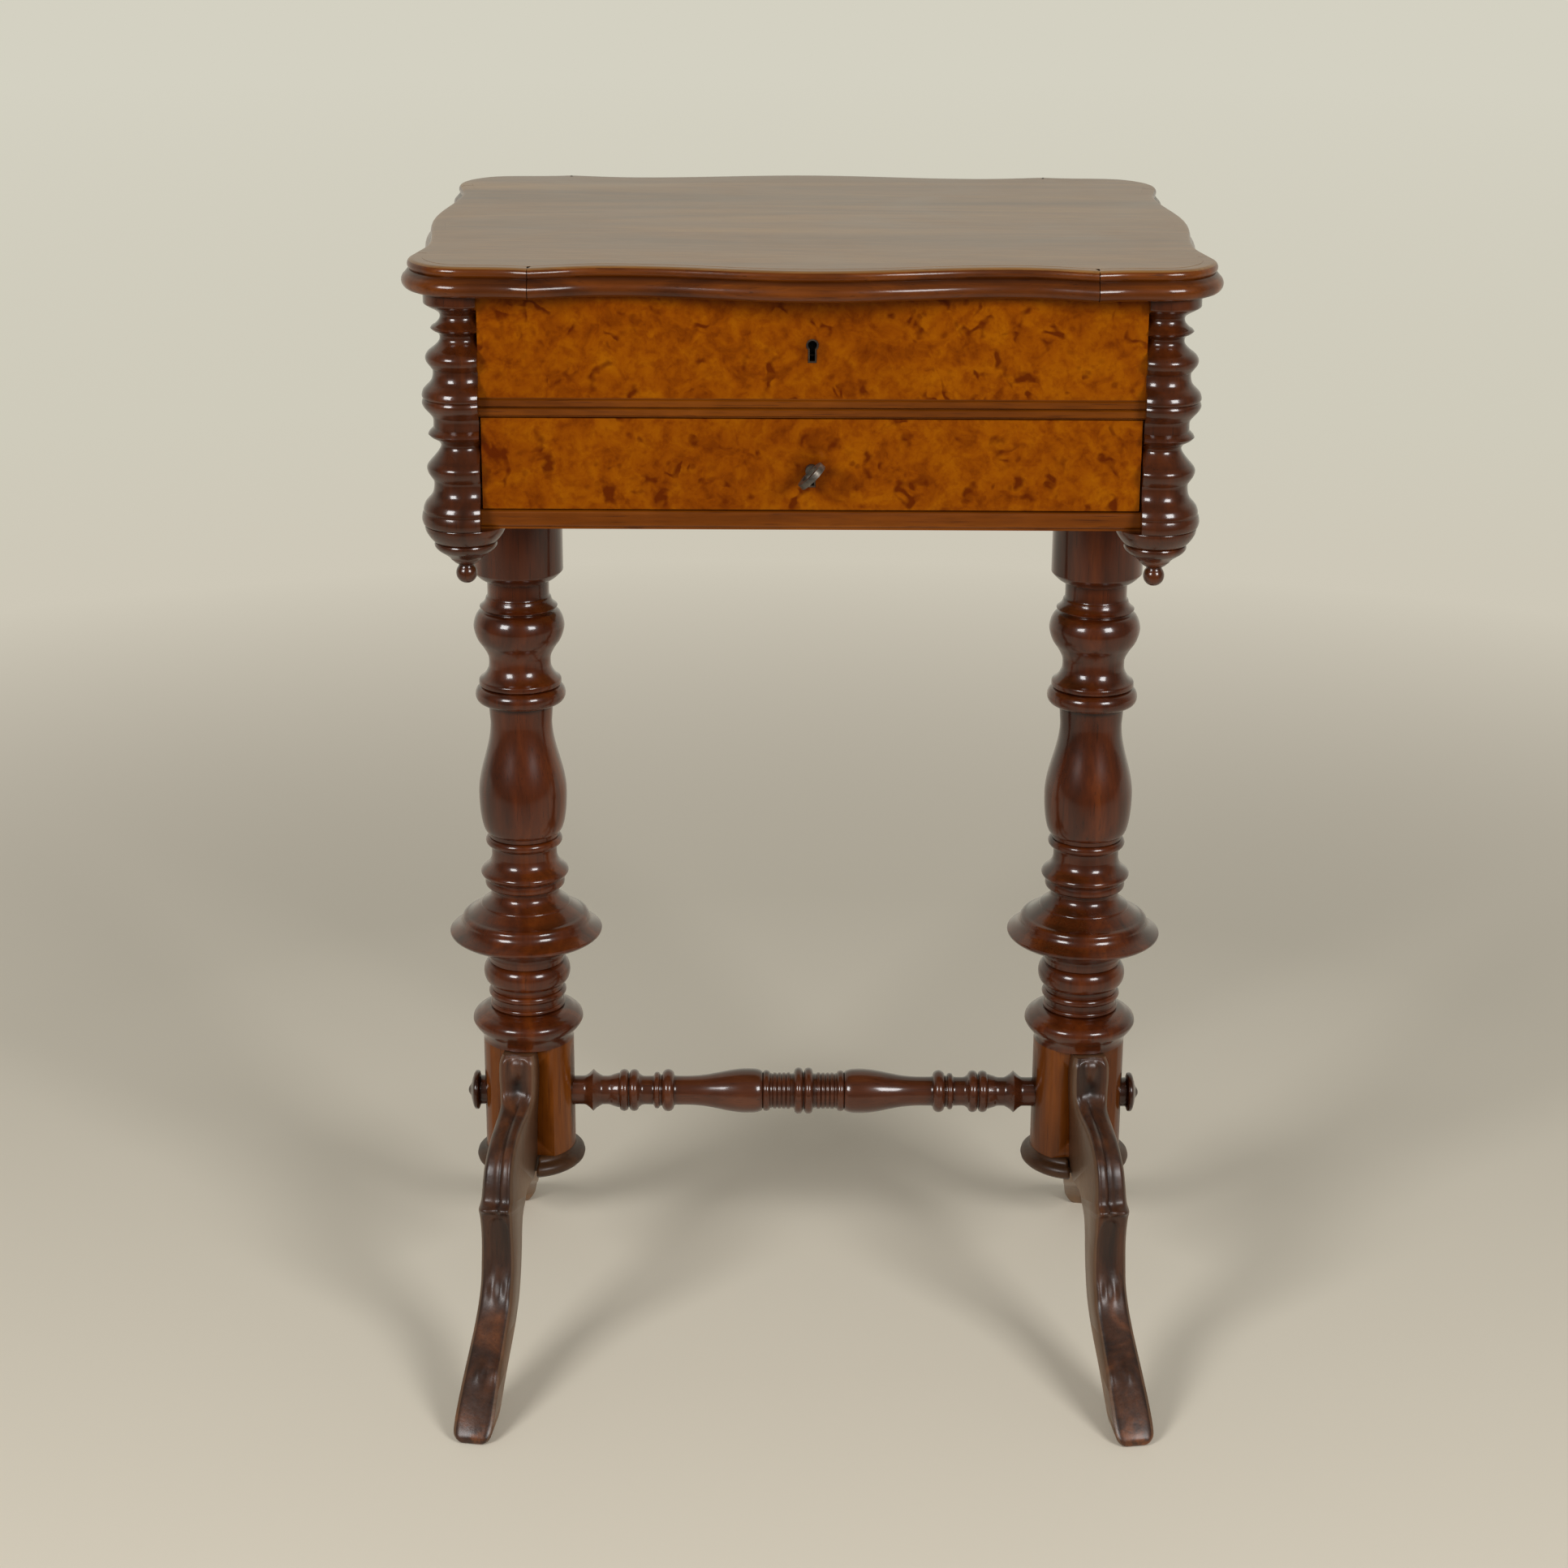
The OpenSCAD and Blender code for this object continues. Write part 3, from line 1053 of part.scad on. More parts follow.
drawer_lock_bolt();
drawer_key();
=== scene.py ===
import math
import bmesh
import bpy
from mathutils import Matrix, Vector


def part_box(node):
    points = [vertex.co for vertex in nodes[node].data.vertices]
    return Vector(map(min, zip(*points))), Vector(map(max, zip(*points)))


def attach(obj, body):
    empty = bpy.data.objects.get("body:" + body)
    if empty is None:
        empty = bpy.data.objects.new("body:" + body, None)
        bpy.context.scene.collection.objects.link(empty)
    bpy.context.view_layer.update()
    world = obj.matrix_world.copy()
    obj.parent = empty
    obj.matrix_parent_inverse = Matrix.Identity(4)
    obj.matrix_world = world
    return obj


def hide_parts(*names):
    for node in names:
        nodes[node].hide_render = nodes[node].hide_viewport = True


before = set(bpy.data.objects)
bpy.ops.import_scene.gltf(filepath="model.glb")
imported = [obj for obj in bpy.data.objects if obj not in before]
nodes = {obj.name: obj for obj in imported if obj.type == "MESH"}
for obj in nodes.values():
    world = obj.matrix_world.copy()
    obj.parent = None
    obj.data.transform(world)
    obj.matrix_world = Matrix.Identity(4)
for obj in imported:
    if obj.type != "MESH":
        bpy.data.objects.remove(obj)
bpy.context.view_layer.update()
mm = 0.001
print("stage: frame loaded with", len(nodes), "nodes")


# the middle of a node's box along an axis, in mm
def middleOf(node, axis):
    low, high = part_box(node)
    return (low[axis] + high[axis]) / 2 / mm


# places that the other pieces are worked out from, in mm
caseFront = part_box("front_panel")[0].y / mm
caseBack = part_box("back_board")[1].y / mm
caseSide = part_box("side_board_right")[1].x / mm
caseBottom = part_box("side_board_right")[0].z / mm
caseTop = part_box("side_board_right")[1].z / mm
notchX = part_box("front_panel")[1].x / mm
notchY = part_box("side_board_right")[1].y / mm
pillarX = middleOf("pillar_right", 0)
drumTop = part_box("drum_right")[1].z / mm
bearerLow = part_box("bearer_right")[0].z / mm
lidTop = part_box("lid_panel")[1].z / mm
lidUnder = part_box("lid_panel")[0].z / mm

# the place and lens that the photograph was taken with
photoView = {
    "pixels": 1932,
    "focalPixels": 3750,
    "sensor": 36,
    "place": (-20.4, -1848, 1014),
    "down": 18.95,
    "roll": 0.30,
    "yaw": 0.20,
}


def makeCamera(view):
    down, roll, yaw = (math.radians(view[key]) for key in ("down", "roll", "yaw"))
    ahead = Vector((math.sin(yaw) * math.cos(down), math.cos(yaw) * math.cos(down), -math.sin(down)))
    across = Vector((math.cos(yaw), -math.sin(yaw), 0))
    up = across.cross(ahead)
    right = across * math.cos(roll) + up * math.sin(roll)
    top = up * math.cos(roll) - across * math.sin(roll)
    data = bpy.data.cameras.new("camera")
    data.sensor_width = view["sensor"]
    data.lens = view["sensor"] * view["focalPixels"] / view["pixels"]
    camera = bpy.data.objects.new("camera", data)
    turn = Matrix((right, top, -ahead)).transposed().to_4x4()
    camera.matrix_world = Matrix.Translation(Vector(view["place"]) * mm) @ turn
    bpy.context.scene.collection.objects.link(camera)
    bpy.context.scene.camera = camera


makeCamera(photoView)


# colours are given as they look on the screen, 0 to 255
def paint(red, green, blue):
    def straight(v):
        v = v / 255
        return v / 12.92 if v <= 0.04045 else ((v + 0.055) / 1.055) ** 2.4
    return (straight(red), straight(green), straight(blue), 1)


# small helpers for material nodes
def feed(tree, socket, value):
    if isinstance(value, bpy.types.NodeSocket):
        tree.links.new(value, socket)
    else:
        socket.default_value = value


def addNode(tree, kind, settings=None, **options):
    node = tree.nodes.new(kind)
    for key, value in options.items():
        setattr(node, key, value)
    for key, value in (settings or {}).items():
        feed(tree, node.inputs[key], value)
    return node


def mathOf(tree, operation, first, second=0.0):
    node = addNode(tree, "ShaderNodeMath", {0: first, 1: second}, operation=operation)
    return node.outputs[0]


def timesOf(tree, first, second):
    return mathOf(tree, "MULTIPLY", first, second)


def vectorOf(tree, operation, settings):
    return addNode(tree, "ShaderNodeVectorMath", settings, operation=operation)


def mixOf(tree, blend, amount, first, second):
    node = addNode(tree, "ShaderNodeMix", data_type="RGBA", blend_type=blend)
    feed(tree, node.inputs[0], amount)
    feed(tree, node.inputs[6], first)
    feed(tree, node.inputs[7], second)
    return node.outputs[2]


def rampOf(tree, value, stops):
    node = addNode(tree, "ShaderNodeValToRGB", {"Fac": value})
    bar = node.color_ramp
    while len(bar.elements) < len(stops):
        bar.elements.new(0.5)
    for element, (place, colour) in zip(bar.elements, stops):
        element.position = place
        element.color = colour
    return node.outputs["Color"]


def rangeOf(tree, value, low, high, toLow=0.0, toHigh=1.0):
    node = addNode(tree, "ShaderNodeMapRange", {"Value": value, "From Min": low, "From Max": high,
                                                "To Min": toLow, "To Max": toHigh})
    return node.outputs["Result"]


def noiseOf(tree, vector, scale, detail, rough, distort=0.0):
    node = addNode(tree, "ShaderNodeTexNoise", {"Vector": vector, "Scale": scale, "Detail": detail,
                                                "Roughness": rough, "Distortion": distort})
    return node.outputs["Fac"]


def startMaterial(name, finish):
    material = bpy.data.materials.new(name)
    material.use_nodes = True
    tree = material.node_tree
    shader = tree.nodes["Principled BSDF"]
    for key, value in finish.items():
        shader.inputs[key].default_value = value
    return material, tree, shader


def coordinates(tree, kind="Object"):
    return addNode(tree, "ShaderNodeTexCoord").outputs[kind]


def partsOf(tree, vector):
    return addNode(tree, "ShaderNodeSeparateXYZ", {"Vector": vector}).outputs


def objectPoint(tree, scale=(1, 1, 1)):
    node = addNode(tree, "ShaderNodeMapping", {"Vector": coordinates(tree), "Scale": scale})
    return node.outputs["Vector"]


# roughness between two values, by the middle stretch of a noise
def roughBy(tree, shader, noise, rough):
    feed(tree, shader.inputs["Roughness"], rangeOf(tree, noise, 0.3, 0.7, *rough))


def addBump(tree, shader, height, distance):
    bump = addNode(tree, "ShaderNodeBump", {"Height": height, "Distance": distance})
    tree.links.new(bump.outputs["Normal"], shader.inputs["Normal"])


grainAlong = {"x": (0.10, 1, 1), "y": (1, 0.10, 1), "z": (1, 1, 0.10)}
white = (1, 1, 1, 1)


# a coat of polish over wood that shines a little by itself
def polish(weight, rough, shine):
    return {"Coat Weight": weight, "Coat Roughness": rough, "Coat IOR": 1.5, "Specular IOR Level": shine}


def shades(dark, mid, light):
    return {"dark": paint(*dark), "mid": paint(*mid), "light": paint(*light)}


def shadeRamp(tree, value, look):
    colours = [look[key] for key in ("dark", "mid", "light", "pale") if key in look]
    return rampOf(tree, value, list(zip(look["stops"], colours)))


# dirt and painted shade in the hollows, which the turned and carved pieces mark on their points
def addDirtAndShade(tree, base, look):
    hollow = addNode(tree, "ShaderNodeAttribute", attribute_name="hollow").outputs["Fac"]
    return mixOf(tree, "MULTIPLY", timesOf(tree, hollow, look["dirtAndShade"]), base, look["dirtAndShadeColour"])


# painted light: a lighter colour for a painted reflection of the floor on the legs' sides and a painted
# highlight on the edges of their faces, which the carved pieces mark on their points
def addPaintedLight(tree, base, look):
    paintedLight = addNode(tree, "ShaderNodeAttribute", attribute_name="paintedLight").outputs["Fac"]
    return mixOf(tree, "MIX", timesOf(tree, paintedLight, look["paintedLightAmount"]), base, look["paintedLight"])


# rubbed wood that shows below a height, in mm
def addWear(tree, base, worn):
    where = coordinates(tree)
    height = partsOf(tree, where)["Z"]
    rub = rangeOf(tree, noiseOf(tree, where, worn["scale"], 4, 0.65), *worn["range"])
    amount = timesOf(tree, rangeOf(tree, height, worn["height"] * mm, 0), rub)
    return mixOf(tree, "MIX", timesOf(tree, amount, worn["amount"]), base, worn["colour"])


# what every timber has unless its own look says otherwise; stops and ranges are values of a noise
timber = {
    "finish": polish(0.75, 0.12, 0.18), "rough": (0.34, 0.50),
    "figureScale": 30, "stops": (0.30, 0.52, 0.74),
    "fibres": 0.4, "fibreScale": 420, "fibreStops": [(0.25, (0.42, 0.38, 0.36, 1)), (0.62, white)],
    "pores": 0.5, "poreScale": 950, "poreStretch": 0.35, "poreRange": (0.62, 0.70),
    "patches": 0.5, "patchScale": 11, "patchStops": [(0.30, (0.55, 0.50, 0.48, 1)), (0.58, white)],
    "rippleScale": 60, "fibreRipple": 0.35, "bump": 0.0001, "knockScale": 110, "knockRipple": 0.2,
    # the last line gives the share of dirt and painted shade in hollows, its colour, and the share of painted
    # light on the legs
    "dirtAndShade": 0, "dirtAndShadeColour": (0.16, 0.12, 0.09, 1), "paintedLightAmount": 0.75,
}


# polished timber: broad figure, fine fibres, dark pores, patches, wear, dirt with painted shade in hollows,
# and painted light on the legs
def timberMaterial(name, own):
    look = dict(timber, **own)
    material, tree, shader = startMaterial(name, look["finish"])
    grain = grainAlong[look["grain"]]
    along = objectPoint(tree, grain)
    plain = objectPoint(tree)
    base = shadeRamp(tree, noiseOf(tree, along, look["figureScale"], 4, 0.55, 1.4), look)
    fibres = noiseOf(tree, along, look["fibreScale"], 3, 0.6)
    base = mixOf(tree, "MULTIPLY", look["fibres"], base, rampOf(tree, fibres, look["fibreStops"]))
    thin = objectPoint(tree, tuple(v * look["poreStretch"] if v < 1 else v for v in grain))
    pores = rangeOf(tree, noiseOf(tree, thin, look["poreScale"], 2, 0.5), *look["poreRange"])
    base = mixOf(tree, "MIX", timesOf(tree, pores, look["pores"]), base, look["pore"])
    patches = noiseOf(tree, plain, look["patchScale"], 3, 0.6, 0.4)
    base = mixOf(tree, "MULTIPLY", look["patches"], base, rampOf(tree, patches, look["patchStops"]))
    if "worn" in look:
        base = addWear(tree, base, look["worn"])
    if "paintedLight" in look:
        base = addPaintedLight(tree, base, look)
    if look["dirtAndShade"]:
        base = addDirtAndShade(tree, base, look)
    feed(tree, shader.inputs["Base Color"], base)
    roughBy(tree, shader, patches, look["rough"])
    ripple = mathOf(tree, "ADD", timesOf(tree, fibres, look["fibreRipple"]),
                    noiseOf(tree, plain, look["rippleScale"], 2, 0.5))
    if "knocks" in look:
        knocks = noiseOf(tree, plain, look["knockScale"], 3, 0.55)
        ripple = mathOf(tree, "ADD", timesOf(tree, ripple, look["knockRipple"]), knocks)
    addBump(tree, shader, ripple, look.get("knocks", look["bump"]))
    return material


# burr veneer: clouded ground, soft grains, dark flecks in clusters, short curling strokes and painted shade
# round the key and the lid's keyhole
def burrMaterial(name, look):
    material, tree, shader = startMaterial(name, look["finish"])
    plain = objectPoint(tree)
    swirl = addNode(tree, "ShaderNodeTexNoise", {"Vector": plain, "Scale": look["swirlScale"], "Detail": 3})
    bent = vectorOf(tree, "SUBTRACT", {0: swirl.outputs["Color"], 1: (0.5, 0.5, 0.5)})
    small = vectorOf(tree, "SCALE", {0: bent.outputs[0], "Scale": look["swirl"]})
    place = vectorOf(tree, "ADD", {0: plain, 1: small.outputs[0]}).outputs[0]
    cloud = noiseOf(tree, place, look["cloudScale"], 4, 0.6, 0.5)
    base = shadeRamp(tree, cloud, look)
    grains = noiseOf(tree, place, look["grainScale"], 3, 0.6)
    base = mixOf(tree, "MULTIPLY", look["grains"], base, rampOf(tree, grains, look["grainStops"]))
    broad = noiseOf(tree, plain, look["broadScale"], 2, 0.5)
    base = mixOf(tree, "MULTIPLY", look["broad"], base, rampOf(tree, broad, look["broadStops"]))
    # flecks: small soft cells, kept only where the clusters are
    cells = addNode(tree, "ShaderNodeTexVoronoi", {"Vector": place, "Scale": look["fleckScale"],
                                                   "Randomness": 1.0})
    near = rangeOf(tree, cells.outputs["Distance"], *look["fleckRange"])
    cluster = rangeOf(tree, noiseOf(tree, plain, look["clusterScale"], 3, 0.65), *look["clusterRange"])
    flecks = timesOf(tree, timesOf(tree, near, cluster), look["flecks"])
    # strokes: the thin band where a noise passes through its middle, broken up into short lengths
    winding = noiseOf(tree, place, look["strokeScale"], 1, 0.5, 0.8)
    line = mathOf(tree, "ABSOLUTE", mathOf(tree, "SUBTRACT", winding, 0.5))
    lengths = rangeOf(tree, noiseOf(tree, plain, look["lengthScale"], 2, 0.5), *look["lengthRange"])
    strokes = timesOf(tree, rangeOf(tree, line, *look["strokeRange"]), lengths)
    marks = timesOf(tree, mathOf(tree, "MAXIMUM", flecks, strokes), look["marks"])
    base = mixOf(tree, "MIX", marks, base, look["markColour"])
    # painted shade round the key and the lid's keyhole
    base = addKeyholeShade(tree, base, look["keyholeShade"])
    feed(tree, shader.inputs["Base Color"], base)
    roughBy(tree, shader, cloud, look["rough"])
    addBump(tree, shader, noiseOf(tree, plain, look["rippleScale"], 2, 0.5), look["bump"])
    return material


# painted shade: a dark bloom round the key and the lid's keyhole, darker towards its middle, given as (x, z,
# radius) in mm
def addKeyholeShade(tree, base, keyholeShade):
    where = coordinates(tree)
    parts = partsOf(tree, where)
    edge = timesOf(tree, noiseOf(tree, where, keyholeShade["scale"], 3, 0.6), keyholeShade["ragged"] * mm)
    for x, z, radius in keyholeShade["spots"]:
        across = mathOf(tree, "POWER", mathOf(tree, "SUBTRACT", parts["X"], x * mm), 2.0)
        upward = mathOf(tree, "POWER", mathOf(tree, "SUBTRACT", parts["Z"], z * mm), 2.0)
        away = mathOf(tree, "SQRT", mathOf(tree, "ADD", across, upward))
        away = mathOf(tree, "ADD", away, edge)
        shade = rangeOf(tree, away, radius * mm, radius * mm * keyholeShade["core"])
        base = mixOf(tree, "MULTIPLY", timesOf(tree, shade, keyholeShade["amount"]), base, keyholeShade["colour"])
    return base


# what every metal has besides its own shades
metal = {"tarnishScale": 140, "stops": (0.32, 0.50, 0.68), "rough": (0.52, 0.30), "scratchScale": 900,
         "bump": 0.00004}


def metalMaterial(name, metallic, own):
    look = dict(metal, **own)
    material, tree, shader = startMaterial(name, {"Metallic": metallic})
    plain = objectPoint(tree)
    tarnish = noiseOf(tree, plain, look["tarnishScale"], 5, 0.65)
    feed(tree, shader.inputs["Base Color"], shadeRamp(tree, tarnish, look))
    roughBy(tree, shader, tarnish, look["rough"])
    addBump(tree, shader, noiseOf(tree, plain, look["scratchScale"], 3, 0.6), look["bump"])
    return material


redBrown = dict(shades((50, 18, 3), (78, 32, 6), (104, 48, 10)), pore=paint(28, 10, 2), dirtAndShade=1.0,
                patches=0.65, rough=(0.25, 0.32))
turnedLook = dict(redBrown, grain="z", figureScale=34)
stretcherLook = dict(redBrown, grain="x", **shades((50, 22, 9), (76, 37, 18), (101, 54, 29)))
columnLook = dict(shades((44, 18, 5), (68, 29, 7), (94, 43, 10)), grain="z", pore=paint(24, 10, 3), dirtAndShade=1.0,
                  rough=(0.25, 0.32))
mouldingLook = dict(shades((64, 27, 2), (94, 44, 3), (118, 60, 8)), grain="x", pore=paint(44, 18, 5),
                    patches=0.45, dirtAndShade=0.8, finish=polish(0.65, 0.13, 0.08))
railLook = dict(mouldingLook, finish=polish(0.35, 0.18, 0.1),
                **shades((80, 36, 0), (108, 54, 1), (131, 71, 4)))
lowRailLook = dict(railLook, **shades((76, 33, 0), (101, 49, 1), (122, 64, 3)))
drumLook = dict(shades((80, 36, 3), (108, 54, 5), (134, 72, 10)), grain="z", pore=paint(60, 26, 6),
                finish=polish(0.5, 0.16, 0.1))
baseLook = dict(shades((48, 27, 12), (68, 41, 20), (90, 57, 30)), grain="x", pore=paint(26, 17, 11),
                rough=(0.42, 0.55), finish=polish(0.25, 0.28, 0.2))
lidLook = dict(shades((100, 64, 24), (126, 84, 36), (150, 106, 50)), grain="x", pore=paint(70, 44, 20),
               figureScale=17, patches=0.35, patchScale=9, rough=(0.42, 0.55), finish=polish(0.75, 0.26, 0.2))
# the carved legs' lighter colour is painted light: a painted reflection of the floor on their sides and a
# painted highlight on their edges
legLook = dict(redBrown, grain="z", figureScale=46, patches=0.6, patchScale=24, rough=(0.36, 0.5),
               finish=polish(0.4, 0.3, 0.3), paintedLight=paint(126, 96, 68), knocks=0.0005,
               worn={"height": 22, "scale": 90, "range": (0.49, 0.63), "amount": 0.7,
                     "colour": paint(132, 74, 34)},
               **shades((42, 21, 10), (66, 36, 18), (94, 53, 27)))
plainLook = dict(shades((150, 108, 62), (178, 136, 84), (198, 158, 104)), pore=paint(120, 84, 48),
                 pores=0.25, fibres=0.35, patches=0.3, rough=(0.5, 0.62), finish=polish(0, 0.03, 0.3))
burrLook = dict(
    shades((106, 48, 0), (124, 61, 0), (133, 70, 0)),
    pale=paint(142, 80, 1), stops=(0.33, 0.47, 0.60, 0.76), cloudScale=70, swirlScale=60, swirl=0.008,
    grains=0.55, grainScale=210, grainStops=[(0.34, (0.60, 0.42, 0.30, 1)), (0.54, white)],
    broad=0.5, broadScale=8, broadStops=[(0.36, (0.70, 0.58, 0.50, 1)), (0.60, white)],
    flecks=0.62, fleckScale=130, fleckRange=(0.32, 0.14), clusterScale=27, clusterRange=(0.495, 0.60),
    strokeScale=58, strokeRange=(0.08, 0.03), lengthScale=64, lengthRange=(0.565, 0.65),
    marks=0.92, markColour=paint(78, 26, 0), rough=(0.38, 0.50), rippleScale=45, bump=0.00012,
    finish=polish(0.25, 0.2, 0),
    # the places of the painted shade round the key and the lid's keyhole
    keyholeShade={"scale": 160, "ragged": 6, "core": 0.3, "amount": 0.75, "colour": (0.36, 0.26, 0.20, 1),
           "spots": [(middleOf(node, 0), middleOf(node, 2), radius)
                     for node, radius in (("drawer_key", 19), ("lid_escutcheon", 13))]})

materials = {
    "turned": timberMaterial("turned walnut", turnedLook),
    "turnedX": timberMaterial("turned walnut along", stretcherLook),
    "columns": timberMaterial("dark turned walnut", columnLook),
    "mouldingX": timberMaterial("moulding along", mouldingLook),
    "mouldingY": timberMaterial("moulding across", dict(mouldingLook, grain="y")),
    "railX": timberMaterial("rail along", railLook),
    "railLow": timberMaterial("low rail along", lowRailLook),
    "railY": timberMaterial("rail across", dict(railLook, grain="y")),
    "drum": timberMaterial("drum walnut", drumLook),
    "base": timberMaterial("dark disc wood", baseLook),
    "lid": timberMaterial("figured lid veneer", lidLook),
    "leg": timberMaterial("carved walnut", legLook),
    "plainX": timberMaterial("plain wood along", dict(plainLook, grain="x")),
    "plainY": timberMaterial("plain wood across", dict(plainLook, grain="y")),
    "plainZ": timberMaterial("plain wood upright", dict(plainLook, grain="z")),
    "burr": burrMaterial("burr veneer", burrLook),
    "brass": metalMaterial("aged brass", 0.95, shades((92, 68, 36), (158, 124, 66), (196, 162, 96))),
    "steel": metalMaterial("worn steel", 0.85, shades((62, 56, 50), (122, 116, 106), (168, 162, 150))),
    "iron": metalMaterial("dull iron", 0.6, shades((50, 44, 38), (96, 88, 78), (134, 126, 114))),
    # dark metal of the escutcheons; on the lock cases behind the keyholes it is painted shade that keeps the
    # keyholes dark
    "darkMetalAndShade": metalMaterial("dark metal and painted keyhole shade", 0.3, shades((22, 16, 12), (52, 40, 30), (84, 68, 54))),
}
print("stage: materials made")

mergeGap = 0.000005


def addObject(name, data):
    made = bpy.data.objects.new(name, data)
    bpy.context.scene.collection.objects.link(made)
    return made


# makes a bmesh a piece that rides a body and takes the place of its nodes
def finishPiece(name, bm, material, replaced, body="stand_and_case", sharp=38):
    bmesh.ops.remove_doubles(bm, verts=bm.verts, dist=mergeGap)
    bmesh.ops.recalc_face_normals(bm, faces=bm.faces)
    mesh = bpy.data.meshes.new(name)
    bm.to_mesh(mesh)
    bm.free()
    mesh.shade_smooth()
    mesh.set_sharp_from_angle(angle=math.radians(sharp))
    mesh.materials.append(materials[material])
    piece = addObject(name, mesh)
    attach(piece, body)
    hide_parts(replaced)
    return piece


# a smooth line through given points
def flowing(points, steps=4):
    line = []
    last = len(points) - 1
    for i in range(last):
        a, b, c, d = (Vector(points[max(0, min(last, k))]) for k in (i - 1, i, i + 1, i + 2))
        for k in range(steps):
            t = k / steps
            line.append(0.5 * (2 * b + (c - a) * t + (2 * a - 5 * b + 4 * c - d) * t * t
                               + (3 * b - a - 3 * c + d) * t ** 3))
    return line + [Vector(points[last])]


# an arc from a start over a turn, in degrees, as (out, up); wide and high are its two radii
def arcLine(out, up, wide, high, start, turn, steps):
    angles = [math.radians(start + turn * k / steps) for k in range(steps + 1)]
    return [(out + wide * math.cos(a), up + high * math.sin(a)) for a in angles]


# a rounded bead on a turning, as (radius, height)
def beadLine(height, radius, thick, deep, steps=10):
    return arcLine(radius - deep, height, deep, thick / 2, -90, 180, steps)


# the runs of a turning as one line; a run is a list of points, or a bead
def runsToLine(runs):
    line = []
    for run in runs:
        points = beadLine(*run[1:]) if run[0] == "bead" else flowing(run)
        line += [Vector(p) for p in points]
    return line


# how far each point of a turned line lies in a hollow, from 0 to 1: the mean radius within a reach
# is compared with its own, and points by the axis aren't counted
def hollowsOf(line, reach=4.5, full=2.2, axis=2):
    lengths = [0]
    for a, b in zip(line, line[1:]):
        lengths.append(lengths[-1] + math.hypot(b[0] - a[0], b[1] - a[1]))
    found = []
    for i, q in enumerate(line):
        near = [r[0] for r, length in zip(line, lengths) if abs(length - lengths[i]) < reach and r[0] > axis]
        deep = (sum(near) / len(near) - q[0]) / full if near else 0
        found.append(max(0.0, min(1.0, deep)))
    return found


# turns a line of (radius, height) about an upright axis
def turnLine(bm, line, x, y, steps):
    # dirt and painted shade for each height, by how deep in a hollow it lies
    dirtAndShade = {}
    for q, value in zip(line, hollowsOf(line)):
        height = round(q[1], 2)
        dirtAndShade[height] = max(value, dirtAndShade.get(height, 0))
    centre = Vector((x * mm, y * mm, 0))
    verts = [bm.verts.new(centre + Vector((p[0] * mm, 0, p[1] * mm))) for p in line]
    edges = [bm.edges.new(pair) for pair in zip(verts, verts[1:])]
    bmesh.ops.spin(bm, geom=verts + edges, cent=centre, axis=(0, 0, 1), dvec=(0, 0, 0), angle=math.tau,
                   steps=steps, use_merge=True, use_duplicate=False)
    bmesh.ops.remove_doubles(bm, verts=bm.verts, dist=mergeGap)
    layer = bm.verts.layers.float.get("hollow") or bm.verts.layers.float.new("hollow")
    for vert in bm.verts:
        vert[layer] = dirtAndShade.get(round(vert.co.z / mm, 2), 0)


# joins rings of the same number of points, and closes both ends
def bridgeRings(bm, rings):
    before = None
    ends = []
    for k, ring in enumerate(rings):
        verts = [bm.verts.new(p) for p in ring]
        edges = [bm.edges.new((verts[i], verts[(i + 1) % len(verts)])) for i in range(len(verts))]
        if before:
            bmesh.ops.bridge_loops(bm, edges=before + edges)
        if k in (0, len(rings) - 1):
            ends.append(edges)
        before = edges
    for edges in ends:
        bmesh.ops.edgeloop_fill(bm, edges=edges)


# cuts a mesh by a plane and closes the cut
def trimPlane(bm, place, normal):
    cut = bmesh.ops.bisect_plane(bm, geom=bm.verts[:] + bm.edges[:] + bm.faces[:],
                                 plane_co=place, plane_no=normal, clear_outer=True)
    edges = [g for g in cut["geom_cut"] if isinstance(g, bmesh.types.BMEdge)]
    if edges:
        bmesh.ops.edgeloop_fill(bm, edges=edges)


